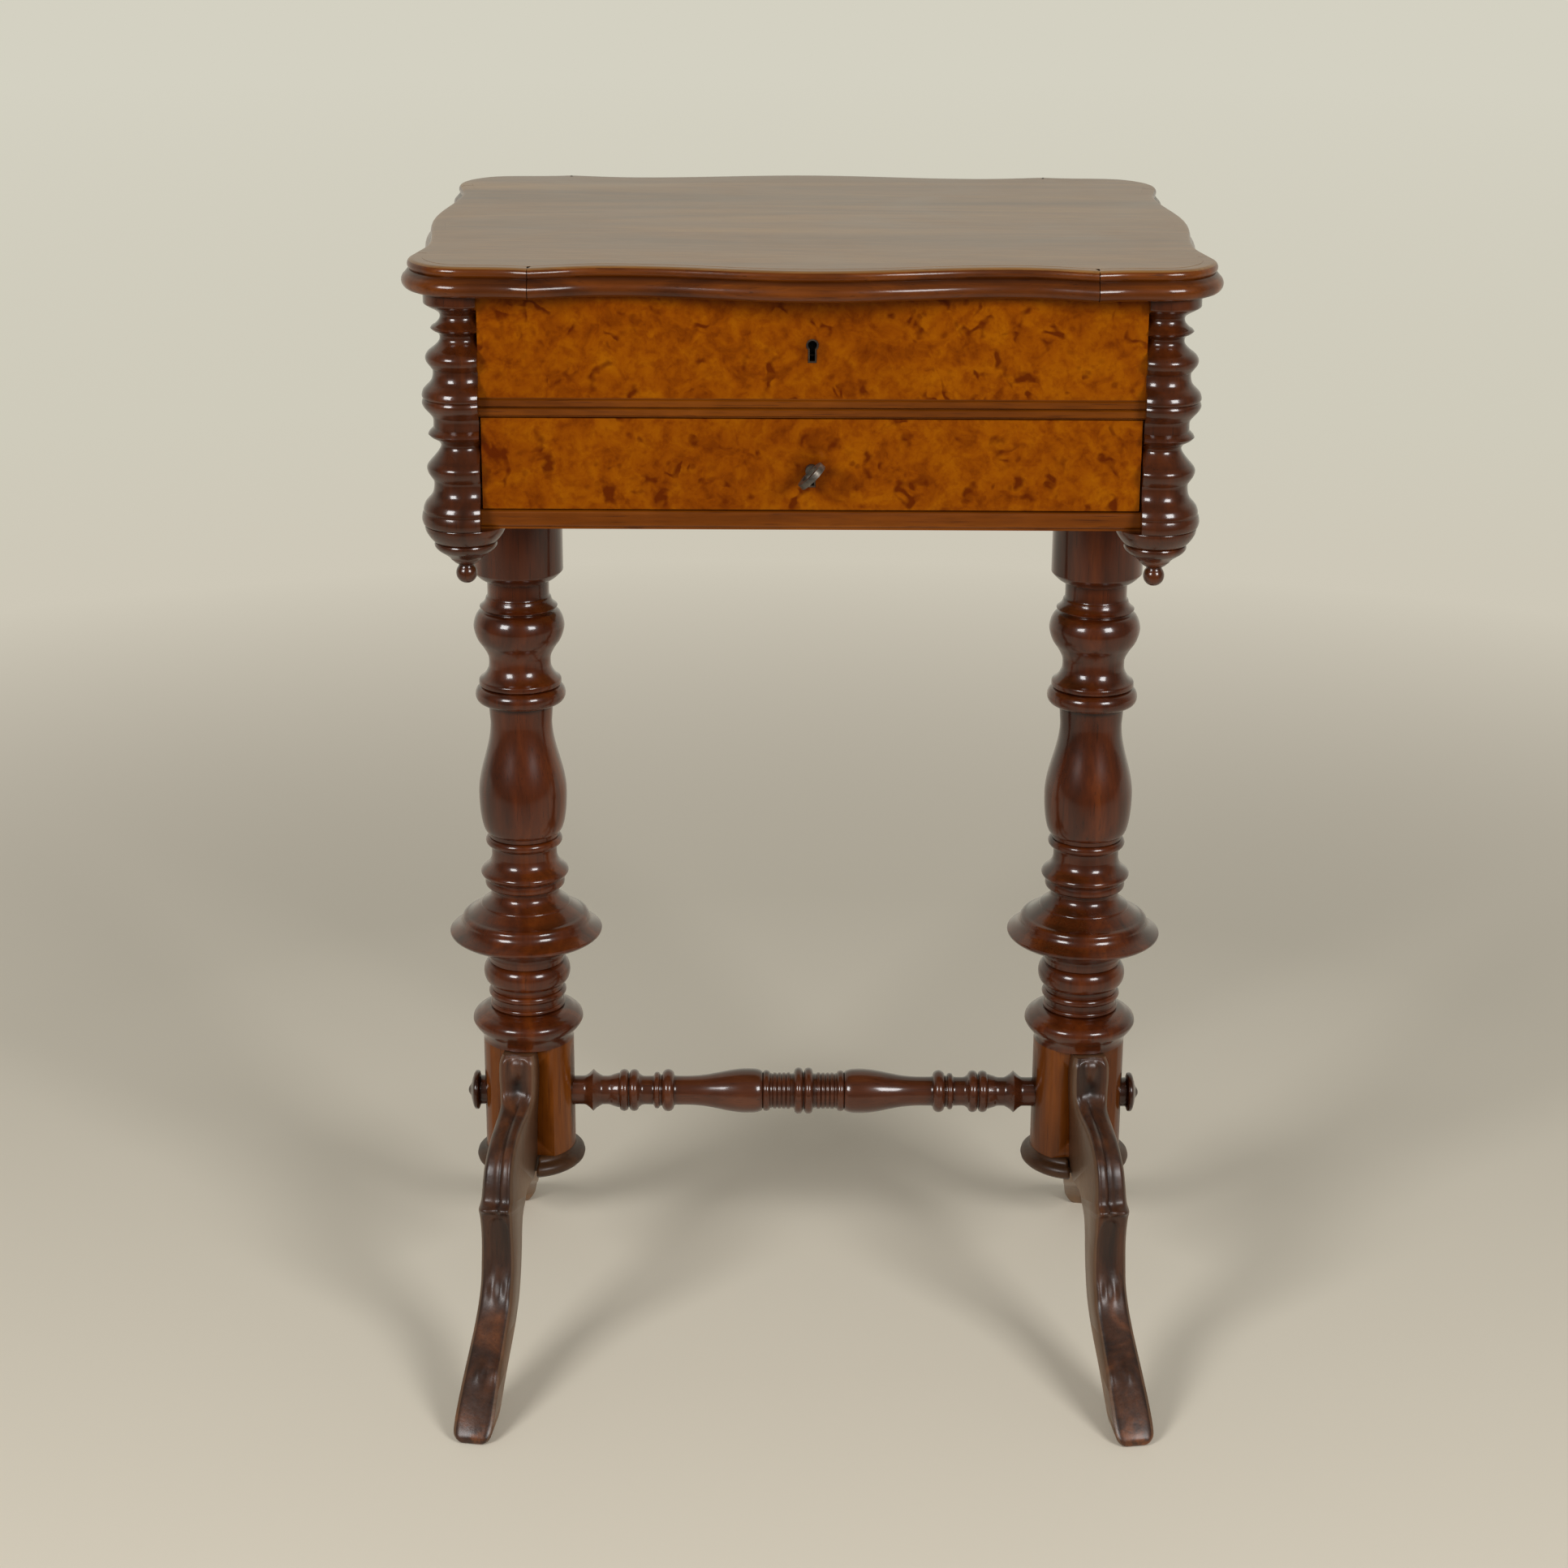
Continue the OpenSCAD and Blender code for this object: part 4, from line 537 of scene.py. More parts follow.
# the pillars: each section has its height above the drum's top and its runs of (radius, height)
pillar = {
    "steps": 96,
    "sections": [
        (0, [[(29.6, 0), (29.7, 2.5), (31.4, 6), (34.2, 9.5), (35.8, 12.5), (36, 14), (35.3, 16.4),
              (33.4, 18.5), (30.8, 20.1)],
             [(30.4, 20.4), (28.4, 21.6), (26, 22.4), (24.4, 22.7)],
             ("bead", 24.4, 24.5, 3.2, 1.3, 8)]),
        (26, [[(23.2, 0.2), (22.9, 1.6), (23.1, 4)],
              ("bead", 6.9, 25.3, 5, 2.1, 8),
              [(23.3, 9.6), (23, 11), (23.2, 13)],
              ("bead", 21, 28.2, 15.6, 4.9, 14),
              [(24.4, 28.9), (24.8, 31.8)]]),
        (58, [[(25, 0.2), (25.2, 3), (27.5, 5.2), (33, 8.4), (40, 11.2), (45.6, 13.7), (48.7, 16.1),
               (49.3, 17.7)],
              [(49.2, 18.2), (47.4, 19.3), (45.4, 20.6), (43.6, 22), (42.3, 23.5), (41.5, 25.1), (41.1, 26.7),
               (40.5, 28.1), (39.3, 29.2), (37.8, 29.8)],
              [(37.2, 30), (35, 31.4), (32.4, 33.3), (30.4, 34.8), (29.4, 35.5)],
              [(28.9, 35.9), (28.5, 37), (26.6, 38.4), (24, 40.6), (22.2, 43.2), (21.6, 45.8)]]),
        (104, [[(21.6, 0), (22, 1.8)],
               [(23, 2.2), (25, 3.2), (25.6, 4.6), (25.6, 6.6), (25.2, 8.2)],
               [(25.4, 8.8), (27, 10), (28, 11.4), (28.2, 12.8), (27.4, 14.2), (25.6, 15.8), (23.6, 17.6),
                (22.2, 19.6), (21.4, 21.8), (21, 23.8)]]),
        (128, [[(21, 0), (21, 4), (21.2, 6)],
               ("bead", 10, 24.6, 6, 2.6),
               [(22.6, 13.4), (23, 15.6)]]),
        (226, [[(20.2, 0), (20.5, 4)],
               [(22.6, 4.4), (24, 5)],
               ("bead", 10.6, 28.6, 11, 4.4),
               [(24.6, 16.3), (26, 17.4), (26, 20)],
               [(25.6, 20.6), (23.8, 21.9), (22.1, 23.8), (20.6, 26.4), (19.7, 29), (19.5, 31.8)]]),
        (258, [[(19.5, 0), (19.7, 3), (20.8, 6), (23.1, 10), (25.9, 14), (27.6, 18), (28.6, 22.5),
                (28.4, 25.5), (27.4, 29), (25.6, 32), (23.2, 33.6)],
               [(22.8, 34.3), (24.4, 35.7)],
               [(24.4, 36.1), (23, 37.2), (21.8, 38.5), (20.9, 40.2), (20.4, 41.9)]]),
        (300, [[(19.8, 0.4), (19.4, 2.4), (19.4, 10.5)],
               [(19.8, 10.6), (24, 13), (27.4, 16.2), (28.4, 17.4)]]),
    ],
    "foot": 29.6, "bedGap": 0.05, "block": 28.5, "blockStep": 0.4,
    "vaseLow": 144, "vaseHigh": 226, "vaseFoot": 23, "vaseRadius": 28.1, "vaseNeck": 19.6,
    "bellyUp": 26, "neckLong": 8, "bellySteps": 12, "sweepSteps": 24,
}


# the vase: a quarter of an ellipse up to the belly and an even sweep up to the neck
def vaseLine(p):
    line = arcLine(p["vaseFoot"], p["bellyUp"], p["vaseRadius"] - p["vaseFoot"], p["bellyUp"], -90, 90,
                   p["bellySteps"])
    sweep = p["vaseHigh"] - p["vaseLow"] - p["neckLong"] - p["bellyUp"]
    for k in range(1, p["sweepSteps"] + 1):
        t = k / p["sweepSteps"]
        swell = (1 + math.cos(math.pi * t)) / 2
        line.append((p["vaseNeck"] + (p["vaseRadius"] - p["vaseNeck"]) * swell, p["bellyUp"] + sweep * t))
    return [Vector((r, drumTop + p["vaseLow"] + z)) for r, z in line]


def pillarLine(p):
    bed = drumTop + p["bedGap"]
    line = [Vector((0, bed)), Vector((p["foot"], bed))]
    for start, runs in p["sections"]:
        if start == p["vaseHigh"]:
            line += vaseLine(p)
        line += [Vector((q.x, q.y + drumTop + start)) for q in runsToLine(runs)]
    return line + [Vector((p["block"], line[-1].y + p["blockStep"])), Vector((p["block"], bearerLow)),
                   Vector((0, bearerLow))]


for side, x in (("left", -pillarX), ("right", pillarX)):
    bm = bmesh.new()
    turnLine(bm, pillarLine(pillar), x, 0, pillar["steps"])
    finishPiece("pillar_turning_" + side, bm, "turned", "pillar_" + side)
print("stage: pillars turned")

# the table's corners: a name, and the signs of the places across and in depth
corners = [(depth + "_" + side, x, y) for depth, y in (("front", -1), ("back", 1))
           for side, x in (("left", -1), ("right", 1))]
cornerX = (caseSide + notchX) / 2
cornerY = (abs(caseFront) + notchY) / 2

# the corner columns, as (radius, height in mm above the case's underside)
cornerColumn = {
    "steps": 72,
    "ball": -28.5, "ballRadius": 6.1, "ballTurn": 132,
    "pendant": [
        [(4.5, -23.9), (4.6, -23.3), (6.5, -22.2), (8, -20.8)],
        [(8.6, -20.4), (9.8, -18.8), (12.6, -16.7), (15.6, -14.7), (17.5, -12.6), (17.9, -11.2),
         (17.6, -10.2)],
        [(17, -9.9), (18.6, -8.7), (21, -5.7), (22.6, -2.7), (23, -0.6), (22.9, 0)],
    ],
    "shaft": [
        [(22.6, 0), (23.7, 1.2), (24.4, 3.6), (24.3, 5.8), (23.8, 7.8)],
        [(23.2, 8.3), (23.4, 9.2), (23.2, 10.8), (22.2, 13.3), (20.6, 15.3), (18.8, 17.3), (17.7, 19.3),
         (17.1, 21.8), (16.9, 24.8), (17.2, 26.3)],
        [(17.5, 26.8), (18.8, 28.7), (20.1, 30.9), (20.7, 33.3), (20.2, 35.3), (18.4, 37.6), (16, 40.3),
         (13.8, 43.1), (12.6, 45.3), (12.4, 46.8), (13.2, 48.3), (14.8, 49.6), (17.8, 51.3), (19.4, 52.9)],
        [(18.7, 54.3), (16.9, 56.1)],
        [(16.4, 56.5), (16.3, 60.8), (16.9, 62.9)],
        [(17.4, 63.5), (19, 65.4), (20.7, 67.3), (22, 69.3), (22.4, 71.1), (21.9, 72.7)],
        [(21.4, 73.1), (22.3, 74.5), (22.2, 76.1), (21.4, 78.3), (19.6, 80.3), (17.6, 82.3), (16.4, 84.3),
         (15.8, 87.3), (15.9, 89.7)],
        [(16.4, 90.1), (17.9, 92.1), (19.3, 94.1), (19.8, 96.3), (19.2, 98.3), (17.6, 100.3), (15, 102.3),
         (12.8, 104.3), (11.5, 106.3), (11.3, 108.1), (11.8, 109.6), (13.2, 110.7), (15, 111.6),
         (16.4, 112.9)],
        [(15.5, 114.1), (13.4, 115.5), (11.6, 117.5), (10.9, 119.6), (11.4, 121.3), (13, 122.7),
         (15.8, 124.3), (18.2, 125.6), (19.7, 126.7)],
        [(20, 127.2), (20, 132.5)],
    ],
    "drawnHigh": 132.5,
}


def cornerPiece(name, x, y, column):
    radius = column["ballRadius"]
    foot = [Vector(q) for q in arcLine(0, column["ball"], radius, radius, -90, column["ballTurn"], 12)]
    foot[0].x = 0
    pendant = foot + runsToLine(column["pendant"]) + [Vector((0, 0))]
    stretch = (caseTop - caseBottom) / column["drawnHigh"]
    shaft = [Vector((q.x, q.y * stretch)) for q in runsToLine(column["shaft"])]
    shaft = [Vector((0, 0))] + shaft + [Vector((0, shaft[-1].y))]
    bm = bmesh.new()
    turnLine(bm, [(q.x, q.y + caseBottom) for q in shaft], x * cornerX, y * cornerY, column["steps"])
    trimPlane(bm, (x * notchX * mm, 0, 0), (-x, 0, 0))
    trimPlane(bm, (0, y * notchY * mm, 0), (0, -y, 0))
    if y > 0:
        trimPlane(bm, (0, caseBack * mm, 0), (0, 1, 0))
    lower = bmesh.new()
    turnLine(lower, [(q.x, q.y + caseBottom) for q in pendant], x * cornerX, y * cornerY, column["steps"])
    hanging = bpy.data.meshes.new("pendant")
    lower.to_mesh(hanging)
    lower.free()
    bm.from_mesh(hanging)
    finishPiece("corner_turning_" + name, bm, "columns", "corner_column_" + name)


for name, x, y in corners:
    cornerPiece(name, x, y, cornerColumn)
print("stage: corner columns turned")

# the stretcher, from its middle outward, as (radius, distance)
stretcher = {
    "steps": 64,
    "height": middleOf("stretcher", 2), "sunk": 2, "pin": 9.6,
    "half": [
        [(12.6, 0), (12.8, 0.4)],
        ("bead", 3.3, 15.4, 5.6, 2.6),
        [(11.6, 6.6), (11.4, 8.2)],
        ("bead", 10, 12.3, 2.6, 1.0, 6),
        ("bead", 13, 12.1, 2.6, 1.0, 6),
        ("bead", 16, 12.1, 2.6, 1.0, 6),
        ("bead", 19, 12.1, 2.8, 1.0, 6),
        [(11.6, 21), (11.8, 22)],
        ("bead", 24.6, 13.6, 4.8, 1.9, 8),
        [(12.8, 27.3), (13.8, 29), (14.6, 33), (14.6, 41), (13.6, 49), (12, 57), (10.4, 66), (9.7, 75),
         (9.7, 84.8)],
        ("bead", 89.8, 14, 8, 3.8),
        [(10.4, 94.2), (10.6, 95.2)],
        ("bead", 97.2, 12.2, 3.6, 1.5, 8),
        [(9.8, 99.6), (9.6, 101), (9.6, 106.2), (10.6, 108.4)],
        ("bead", 112.4, 13.9, 6, 2.4, 8),
        ("bead", 119, 13.9, 6, 2.4, 8),
        [(11.6, 122.6), (10.6, 126), (9.6, 129), (9.6, 133.4)],
        [(10.2, 134.6), (11.8, 137.2), (13.9, 139.4)],
        [(13.5, 139.9), (11.4, 142.2), (9.9, 144.4), (9.6, 147), (9.6, 151)],
    ],
    "drawnHalf": 153.9,
}


def layAlongX(bm, height):
    bmesh.ops.rotate(bm, verts=bm.verts, cent=(0, 0, 0), matrix=Matrix.Rotation(math.radians(90), 3, "Y"))
    bmesh.ops.translate(bm, verts=bm.verts, vec=(0, 0, height * mm))


half = runsToLine(stretcher["half"])
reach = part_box("drum_right")[0].x / mm + stretcher["sunk"]
half = [Vector((q.x, q.y * reach / stretcher["drawnHalf"])) for q in half]
half.append(Vector((stretcher["pin"], reach)))
whole = [Vector((q.x, -q.y)) for q in reversed(half[1:])] + half
bm = bmesh.new()
turnLine(bm, [Vector((0, -reach))] + whole + [Vector((0, reach))], 0, 0, stretcher["steps"])
layAlongX(bm, stretcher["height"])
finishPiece("stretcher_turning", bm, "turnedX", "stretcher")

# a button, as (radius, distance out from the drum)
button = {
    "steps": 48, "sunk": 1.6,
    "line": [
        [(9.7, -1.6), (9.7, 2.4), (10.2, 3.2)],
        [(10.8, 3.4), (12.6, 4.1), (13, 5.4), (12.6, 6.6), (11.2, 7.5)],
        [(10.6, 7.7), (8, 8.5), (5.4, 9.1)],
        [(5, 9.2), (3.4, 10), (1.8, 11), (0, 11.4)],
    ],
}
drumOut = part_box("drum_right")[1].x / mm
bm = bmesh.new()
turnLine(bm, [Vector((0, -button["sunk"]))] + runsToLine(button["line"]), 0, 0, button["steps"])
bmesh.ops.translate(bm, verts=bm.verts, vec=(0, 0, drumOut * mm))
bmesh.ops.mirror(bm, geom=bm.verts[:] + bm.edges[:] + bm.faces[:], axis="Z", merge_dist=0)
layAlongX(bm, stretcher["height"])
finishPiece("stretcher_button_turnings", bm, "columns", "stretcher_buttons")
print("stage: stretcher and buttons turned")


# a smooth copy of a node whose shape is right as it is
def smoothCopy(node, material):
    bm = bmesh.new()
    bm.from_mesh(nodes[node].data)
    finishPiece(node + "_smooth", bm, material, node)


for side in ("left", "right"):
    smoothCopy("drum_" + side, "drum")
    smoothCopy("drum_base_" + side, "base")

# the legs: pairs of points on the outer and the inner curve, as (distance out from the drum's flat,
# height), with half widths; the carving is placed by the number of the station, and across the leg
# from -1 to 1; a start and an end are the stations over which a stretch fades in and out
leg = {
    "splay": 8.8, "bed": 21.2, "frontReach": 177.5, "backReach": 185, "drawnOut": 151.8,
    "faceSteps": 44, "between": 8, "deepest": 0.4, "nip": 0.995,
    "stations": [
        ((12.4, 203), (0, 203), 10.2), ((15.6, 198), (0, 197), 11.6), ((16.2, 188), (0, 187), 11.9),
        ((17, 177), (0, 172), 11.3), ((24.4, 170.5), (0, 158), 10.2), ((38.4, 167.5), (0.2, 142), 9.6),
        ((51, 164), (1.6, 126), 9.5), ((61, 158.4), (11, 117.2), 9.6), ((68.4, 151), (22, 117.5), 9.8),
        ((72.8, 141.5), (31.4, 118), 10.1), ((75.8, 131), (38, 117), 10.6),
        ((81.2, 126.4), (42, 114.6), 11), ((78.4, 121.4), (44.6, 112), 10.8), ((77, 111), (47.4, 107), 10.5),
        ((76.2, 99), (50.2, 99.6), 10.6), ((77.4, 86), (53, 88), 10.8), ((81, 73), (57, 73.5), 10.9),
        ((89, 61.5), (63, 59.5), 11), ((100.6, 51.2), (72, 48.5), 11.1), ((113.4, 41), (84, 40), 11.5),
        ((126, 30.6), (96.8, 33), 12), ((137.6, 20.5), (108.6, 25.6), 12.4),
        ((147, 11.4), (119.4, 17), 12.6), ((151.8, 5.4), (127.6, 8.6), 12.2),
        ((151.8, 1.6), (130.6, 2.6), 9.8), ((150, 0), (132, 0), 7.6)],
    "back": (1, 0.9, 0.45, 0, -0.45, -0.9, -1), "backRound": 1.4, "backShare": 0.2,
    # carving deeper than the first value takes dirt and painted shade, fully at that value plus the second
    "dirtAndShadeFrom": 0.5, "dirtAndShadeOver": 2.0,
    # painted light: a painted highlight on the face's edges, and a painted reflection of the floor on the
    # sides, more on the side towards the table's middle and fading in down the leg
    "edge": 0.84, "edgeHighlight": 0.4, "sidePaintedLight": 0.12, "sideFade": (5.5, 8.5), "outerSide": 0.6,
    "rounding": {"from": 0.62, "deep": 2.4, "power": 2.2},
    "head": {"start": (0, 1), "end": (2.7, 3.7), "half": 0.80, "archEnd": 1.2, "archLong": 0.9,
             "soft": (-0.34, 0.02), "deep": 1.5},
    "drop": {"at": 1.05, "long": 1.0, "side": 0, "half": 0.42, "rim": (0.05, 1.2)},
    "pit": {"at": 2.5, "long": 0.42, "side": 0, "half": 0.30, "deep": 1.2},
    "reeds": {"start": (3.0, 3.8), "end": (11.2, 11.8), "groove": 0.16, "deep": 1.9, "flat": 3.2},
    "lip": {"at": 11.0, "long": 0.55, "side": -0.5, "half": 0.4, "high": 1.3},
    "panel": {"start": (11.95, 12.4), "end": (14.4, 16.1), "half": 0.72, "archEnd": 13.1, "archLong": 1.0,
              "soft": (-0.24, -0.02), "side": 0.16, "deep": 1.3},
    "shin": {"start": (14.6, 16.6), "end": (22.5, 24), "deep": 1.6, "power": 1.6, "crease": 0.5,
             "creaseAt": 0.26, "creaseHalf": 0.20, "swellAway": 0.44, "swellHalf": 0.27,
             "swells": [(16.1, 1.5, 0.5), (19.6, 1.9, 0.40)]},
}


# 0 up to the low value, 1 from the high one on, and smooth between them
def easeIn(value, low, high):
    t = max(0.0, min(1.0, (value - low) / (high - low)))
    return t * t * (3 - 2 * t)


# how fully a stretch of the carving is there
def present(station, f):
    return easeIn(station, *f["start"]) * (1 - easeIn(station, *f["end"]))


# the same for a sunk field that begins with a round arch, at a distance from its middle
def sunkField(station, away, f):
    half = f["half"] * math.sqrt(max(0.0, 1 - max(0.0, (f["archEnd"] - station) / f["archLong"]) ** 2))
    return (1 - easeIn(away, half + f["soft"][0], half + f["soft"][1])) * present(station, f)


# where a place lies in an oval: 0 in its middle and 1 on its rim, squared
def inOval(station, across, f):
    return ((across - f["side"]) / f["half"]) ** 2 + ((station - f["at"]) / f["long"]) ** 2


# how deep the carving goes; places above 0 lie on the leg's side that looks to the table's middle
def carveDepth(station, across, spec):
    edge = abs(across)
    f = spec["rounding"]
    deep = f["deep"] * max(0.0, (edge - f["from"]) / (1 - f["from"])) ** f["power"]
    f = spec["drop"]
    outside = easeIn(inOval(station, across, f), *f["rim"])
    deep += spec["head"]["deep"] * sunkField(station, edge, spec["head"]) * outside
    deep += spec["pit"]["deep"] * math.exp(-inOval(station, across, spec["pit"]))
    f = spec["reeds"]
    if across > f["groove"]:
        away = (across - (1 + f["groove"]) / 2) / ((1 - f["groove"]) / 2)
    else:
        away = (across - (f["groove"] - 1) / 2) / ((1 + f["groove"]) / 2)
    deep += f["deep"] * min(1.0, abs(away)) ** f["flat"] * present(station, f)
    deep -= spec["lip"]["high"] * math.exp(-inOval(station, across, spec["lip"]))
    f = spec["panel"]
    deep += f["deep"] * sunkField(station, abs(across - f["side"]), f)
    f = spec["shin"]
    deep += f["deep"] * present(station, f) * edge ** f["power"]
    beside = across - f["creaseAt"]
    for place, high, length in f["swells"]:
        near = math.exp(-((station - place) / length) ** 2)
        deep -= high * near * math.exp(-((abs(beside) - f["swellAway"]) / f["swellHalf"]) ** 2)
        deep += f["crease"] * near * math.exp(-(beside / f["creaseHalf"]) ** 2)
    return deep


# writes values on a mesh's points, which were made in the same order
def markPoints(bm, values, name):
    layer = bm.verts.layers.float.new(name)
    bm.verts.ensure_lookup_table()
    for k, value in enumerate(values):
        bm.verts[k][layer] = value


# one closed ring round the leg, in its own upright plane, and how much dirt and painted shade its points take
def legRing(station, outer, inner, width, spec, way):
    along = outer - inner
    thick = along.length
    along.normalize()
    ring = []
    hollow = []
    for k in range(spec["faceSteps"] + 1):
        across = -1 + 2 * k / spec["faceSteps"]
        deep = min(carveDepth(station, across * way, spec), thick * spec["deepest"])
        place = outer - along * deep
        ring.append(Vector((place.x, width * across * (1 if abs(across) < 1 else spec["nip"]), place.y)))
        dirtAndShadeHere = max(0.0, min(1.0, (deep - spec["dirtAndShadeFrom"]) / spec["dirtAndShadeOver"]))
        hollow.append(dirtAndShadeHere if abs(across) < spec["edge"] else 0.0)
    for across in spec["back"]:
        place = inner + along * (min(spec["backRound"], thick * spec["backShare"]) if abs(across) == 1 else 0)
        ring.append(Vector((place.x, width * across, place.y)))
        hollow.append(0.0)
    return ring, hollow


# how much painted light one ring's points take: a painted highlight on the edges of the face a little, and a
# painted reflection of the floor on the sides below the knee
def legPaintedLight(station, spec, way):
    face = [abs(2 * k / spec["faceSteps"] - 1) for k in range(spec["faceSteps"] + 1)]
    side = spec["sidePaintedLight"] + (1 - spec["sidePaintedLight"]) * easeIn(station, *spec["sideFade"])
    return ([spec["edgeHighlight"] * (place > spec["edge"]) for place in face]
            + [side * (1 if place * way > 0 else spec["outerSide"]) for place in spec["back"]])


def legPiece(name, x, y, spec):
    stretch = (spec["frontReach" if y < 0 else "backReach"] - spec["bed"]) / spec["drawnOut"]
    outers = flowing([(a[0] * stretch, a[1]) for a, b, w in spec["stations"]], spec["between"])
    inners = flowing([(b[0] * stretch, b[1]) for a, b, w in spec["stations"]], spec["between"])
    widths = flowing([(w, 0) for a, b, w in spec["stations"]], spec["between"])
    turn = math.radians(y * (90 - x * spec["splay"]))
    spin = Matrix.Translation((x * pillarX * mm, 0, 0)) @ Matrix.Rotation(turn, 4, "Z")
    bedPlace = Vector((spec["bed"], 0))
    rings = []
    dirtAndShade = []
    paintedLight = []
    for k, (outer, inner, width) in enumerate(zip(outers, inners, widths)):
        station = k / spec["between"]
        ring, hollow = legRing(station, outer + bedPlace, inner + bedPlace, width.x, spec, x * y)
        rings.append([spin @ (p * mm) for p in ring])
        dirtAndShade += hollow
        paintedLight += legPaintedLight(station, spec, x * y)
    bm = bmesh.new()
    bridgeRings(bm, rings)
    markPoints(bm, dirtAndShade, "hollow")
    markPoints(bm, paintedLight, "paintedLight")
    finishPiece("carved_leg_" + name, bm, "leg", "leg_" + name, sharp=50)


for name, x, y in corners:
    legPiece(name, x, y, leg)
print("stage: legs carved")

# plan of the lid's edge: a long or short side swells, draws in and meets the corner at a blunt point
lidPlan = {
    "halfX": 231, "halfY": 198.5, "middleY": middleOf("lid_panel", 1),
    "longJoint": 156.5, "longDrop": 5, "longWaist": 111.5, "frontRecess": 16, "backRecess": 13,
    "shortJoint": 134.5, "shortDrop": 2.6, "shortWaist": 98.5, "shortRecess": 7,
    "corner": [(66, 7.2), (55, 8.6), (43, 8.9), (33, 9.8), (24, 12.4), (17, 16.6), (11, 23), (5.5, 31.5),
               (1.8, 42.5), (1, 53)],
    "fineSteps": 20, "jointSteps": 8, "cornerSteps": 4, "jointGap": 0.22, "sharpest": 0.5,
    "width": 12, "underUp": 0.4, "topDown": 0.1, "veneered": 1.2,
    "nosing": 4.9, "nosingTurn": (-90, -143.5, 16), "hollow": [(2.2, 7.9), (3, 7.1), (3.7, 6.1)],
    "roll": 3.2, "rollIn": 6.7, "rollDown": 3.3, "rollTurn": (-128, -142, 12),
}


def wholeEdge(p, way, recess):
    joint, drop, waist = (p[way + part] for part in ("Joint", "Drop", "Waist"))
    steps, last = p["fineSteps"], p["jointSteps"]
    half = [(waist * k / steps, recess * (1 - math.cos(math.pi * k / steps)) / 2) for k in range(steps + 1)]
    for k in range(1, last + 1):
        t = k / last
        rise = (t * t if t < 0.5 else t - 0.25) / 0.75
        half.append((waist + (joint - waist) * t, recess - (recess - drop) * rise))
    return [(-px, py) for px, py in reversed(half[1:])] + half


def lidRuns(p):
    hx, hy = p["halfX"], p["halfY"]
    front = wholeEdge(p, "long", p["frontRecess"])
    back = wholeEdge(p, "long", p["backRecess"])
    short = wholeEdge(p, "short", p["shortRecess"])
    corner = [(p["longJoint"], hy - p["longDrop"])] + [(hx - a, hy - b) for a, b in p["corner"]]
    corner.append((hx - p["shortDrop"], p["shortJoint"]))
    corner = [(q.x, q.y) for q in flowing(corner, p["cornerSteps"])]
    runs = {
        "edge_front": [(a, b - hy) for a, b in front],
        "corner_front_right": [(a, -b) for a, b in corner],
        "edge_right": [(hx - b, a) for a, b in short],
        "corner_back_right": [(a, b) for a, b in reversed(corner)],
        "edge_back": [(-a, hy - b) for a, b in back],
        "corner_back_left": [(-a, b) for a, b in corner],
        "edge_left": [(b - hx, -a) for a, b in short],
        "corner_front_left": [(-a, -b) for a, b in reversed(corner)],
    }
    return {name: [Vector((a, b + p["middleY"])) for a, b in points] for name, points in runs.items()}


# the section as points (in from the outline, down from the top) with how much dirt and painted shade each
# takes
def edgeSection(p):
    low, high = p["nosing"], p["roll"]
    under = lidTop - lidUnder - p["underUp"]
    nosing = arcLine(low, under - low, low, -low, *p["nosingTurn"])
    roll = arcLine(p["rollIn"], p["rollDown"], high, -high, *p["rollTurn"])
    section = [((p["width"], under), 0.6)]
    section += [(q, 0.5 if k < 2 else 0) for k, q in enumerate(nosing)]
    section += list(zip(p["hollow"], (0.35, 0.6, 0.9)))
    section += [(q, 0.5 if k == 0 else 0) for k, q in enumerate(roll)]
    return section + [((p["width"], p["topDown"]), 0.7)]


def lidEdges(p):
    runs = lidRuns(p)
    outline = [q for points in runs.values() for q in points[:-1]]
    count = len(outline)
    section = edgeSection(p)
    start = 0
    for name, points in runs.items():
        rings = []
        last = len(points) - 1
        for k in range(last + 1):
            i = start + k
            a = (outline[i % count] - outline[(i - 1) % count]).normalized()
            b = (outline[(i + 1) % count] - outline[i % count]).normalized()
            inward = Vector((-a.y - b.y, a.x + b.x)).normalized()
            inward = inward / max(p["sharpest"], inward.dot(Vector((-b.y, b.x))))
            slip = p["jointGap"] * (b if k == 0 else -a if k == last else Vector((0, 0)))
            rim = outline[i % count] + slip
            rings.append([Vector((*(rim + inward * far), lidTop - down)) * mm
                          for (far, down), value in section])
        bm = bmesh.new()
        bridgeRings(bm, rings)
        markPoints(bm, [value for ring in rings for q, value in section], "hollow")
        for face in bm.faces:
            if min(vert.co.z for vert in face.verts) > (lidTop - p["veneered"]) * mm:
                face.material_index = 1
        look = "mouldingY" if name in ("edge_left", "edge_right") else "mouldingX"
        piece = finishPiece("lid_moulding_" + name, bm, look, "lid_" + name, "lid", 50)
        piece.data.materials.append(materials["lid"])
        start += last


lidEdges(lidPlan)
print("stage: lid edge swept")

# the rails' sections, as (how far proud of the board, height above the rail's lower edge)
rails = {"reed": 2.3, "reedGap": 0.2, "reedProud": 1.6, "lowRoll": 3, "roll": 1.6}


# two reeds, one above the other, in the middle of a height
def reedSection(p, high):
    line = []
    for way in (-1, 1):
        middle = high / 2 + way * (p["reed"] + p["reedGap"])
        line += arcLine(0, middle, p["reedProud"], p["reed"], -90, 180, 12)
    return line


# a board with a small roll at its lower and its upper edge
def bottomSection(p, high):
    roll = p["roll"]
    return ([(0, 0), (0, p["lowRoll"] - roll)] + arcLine(0, p["lowRoll"], roll, roll, -90, 90, 8)
            + arcLine(0, high - roll, roll, roll, 0, 90, 8))


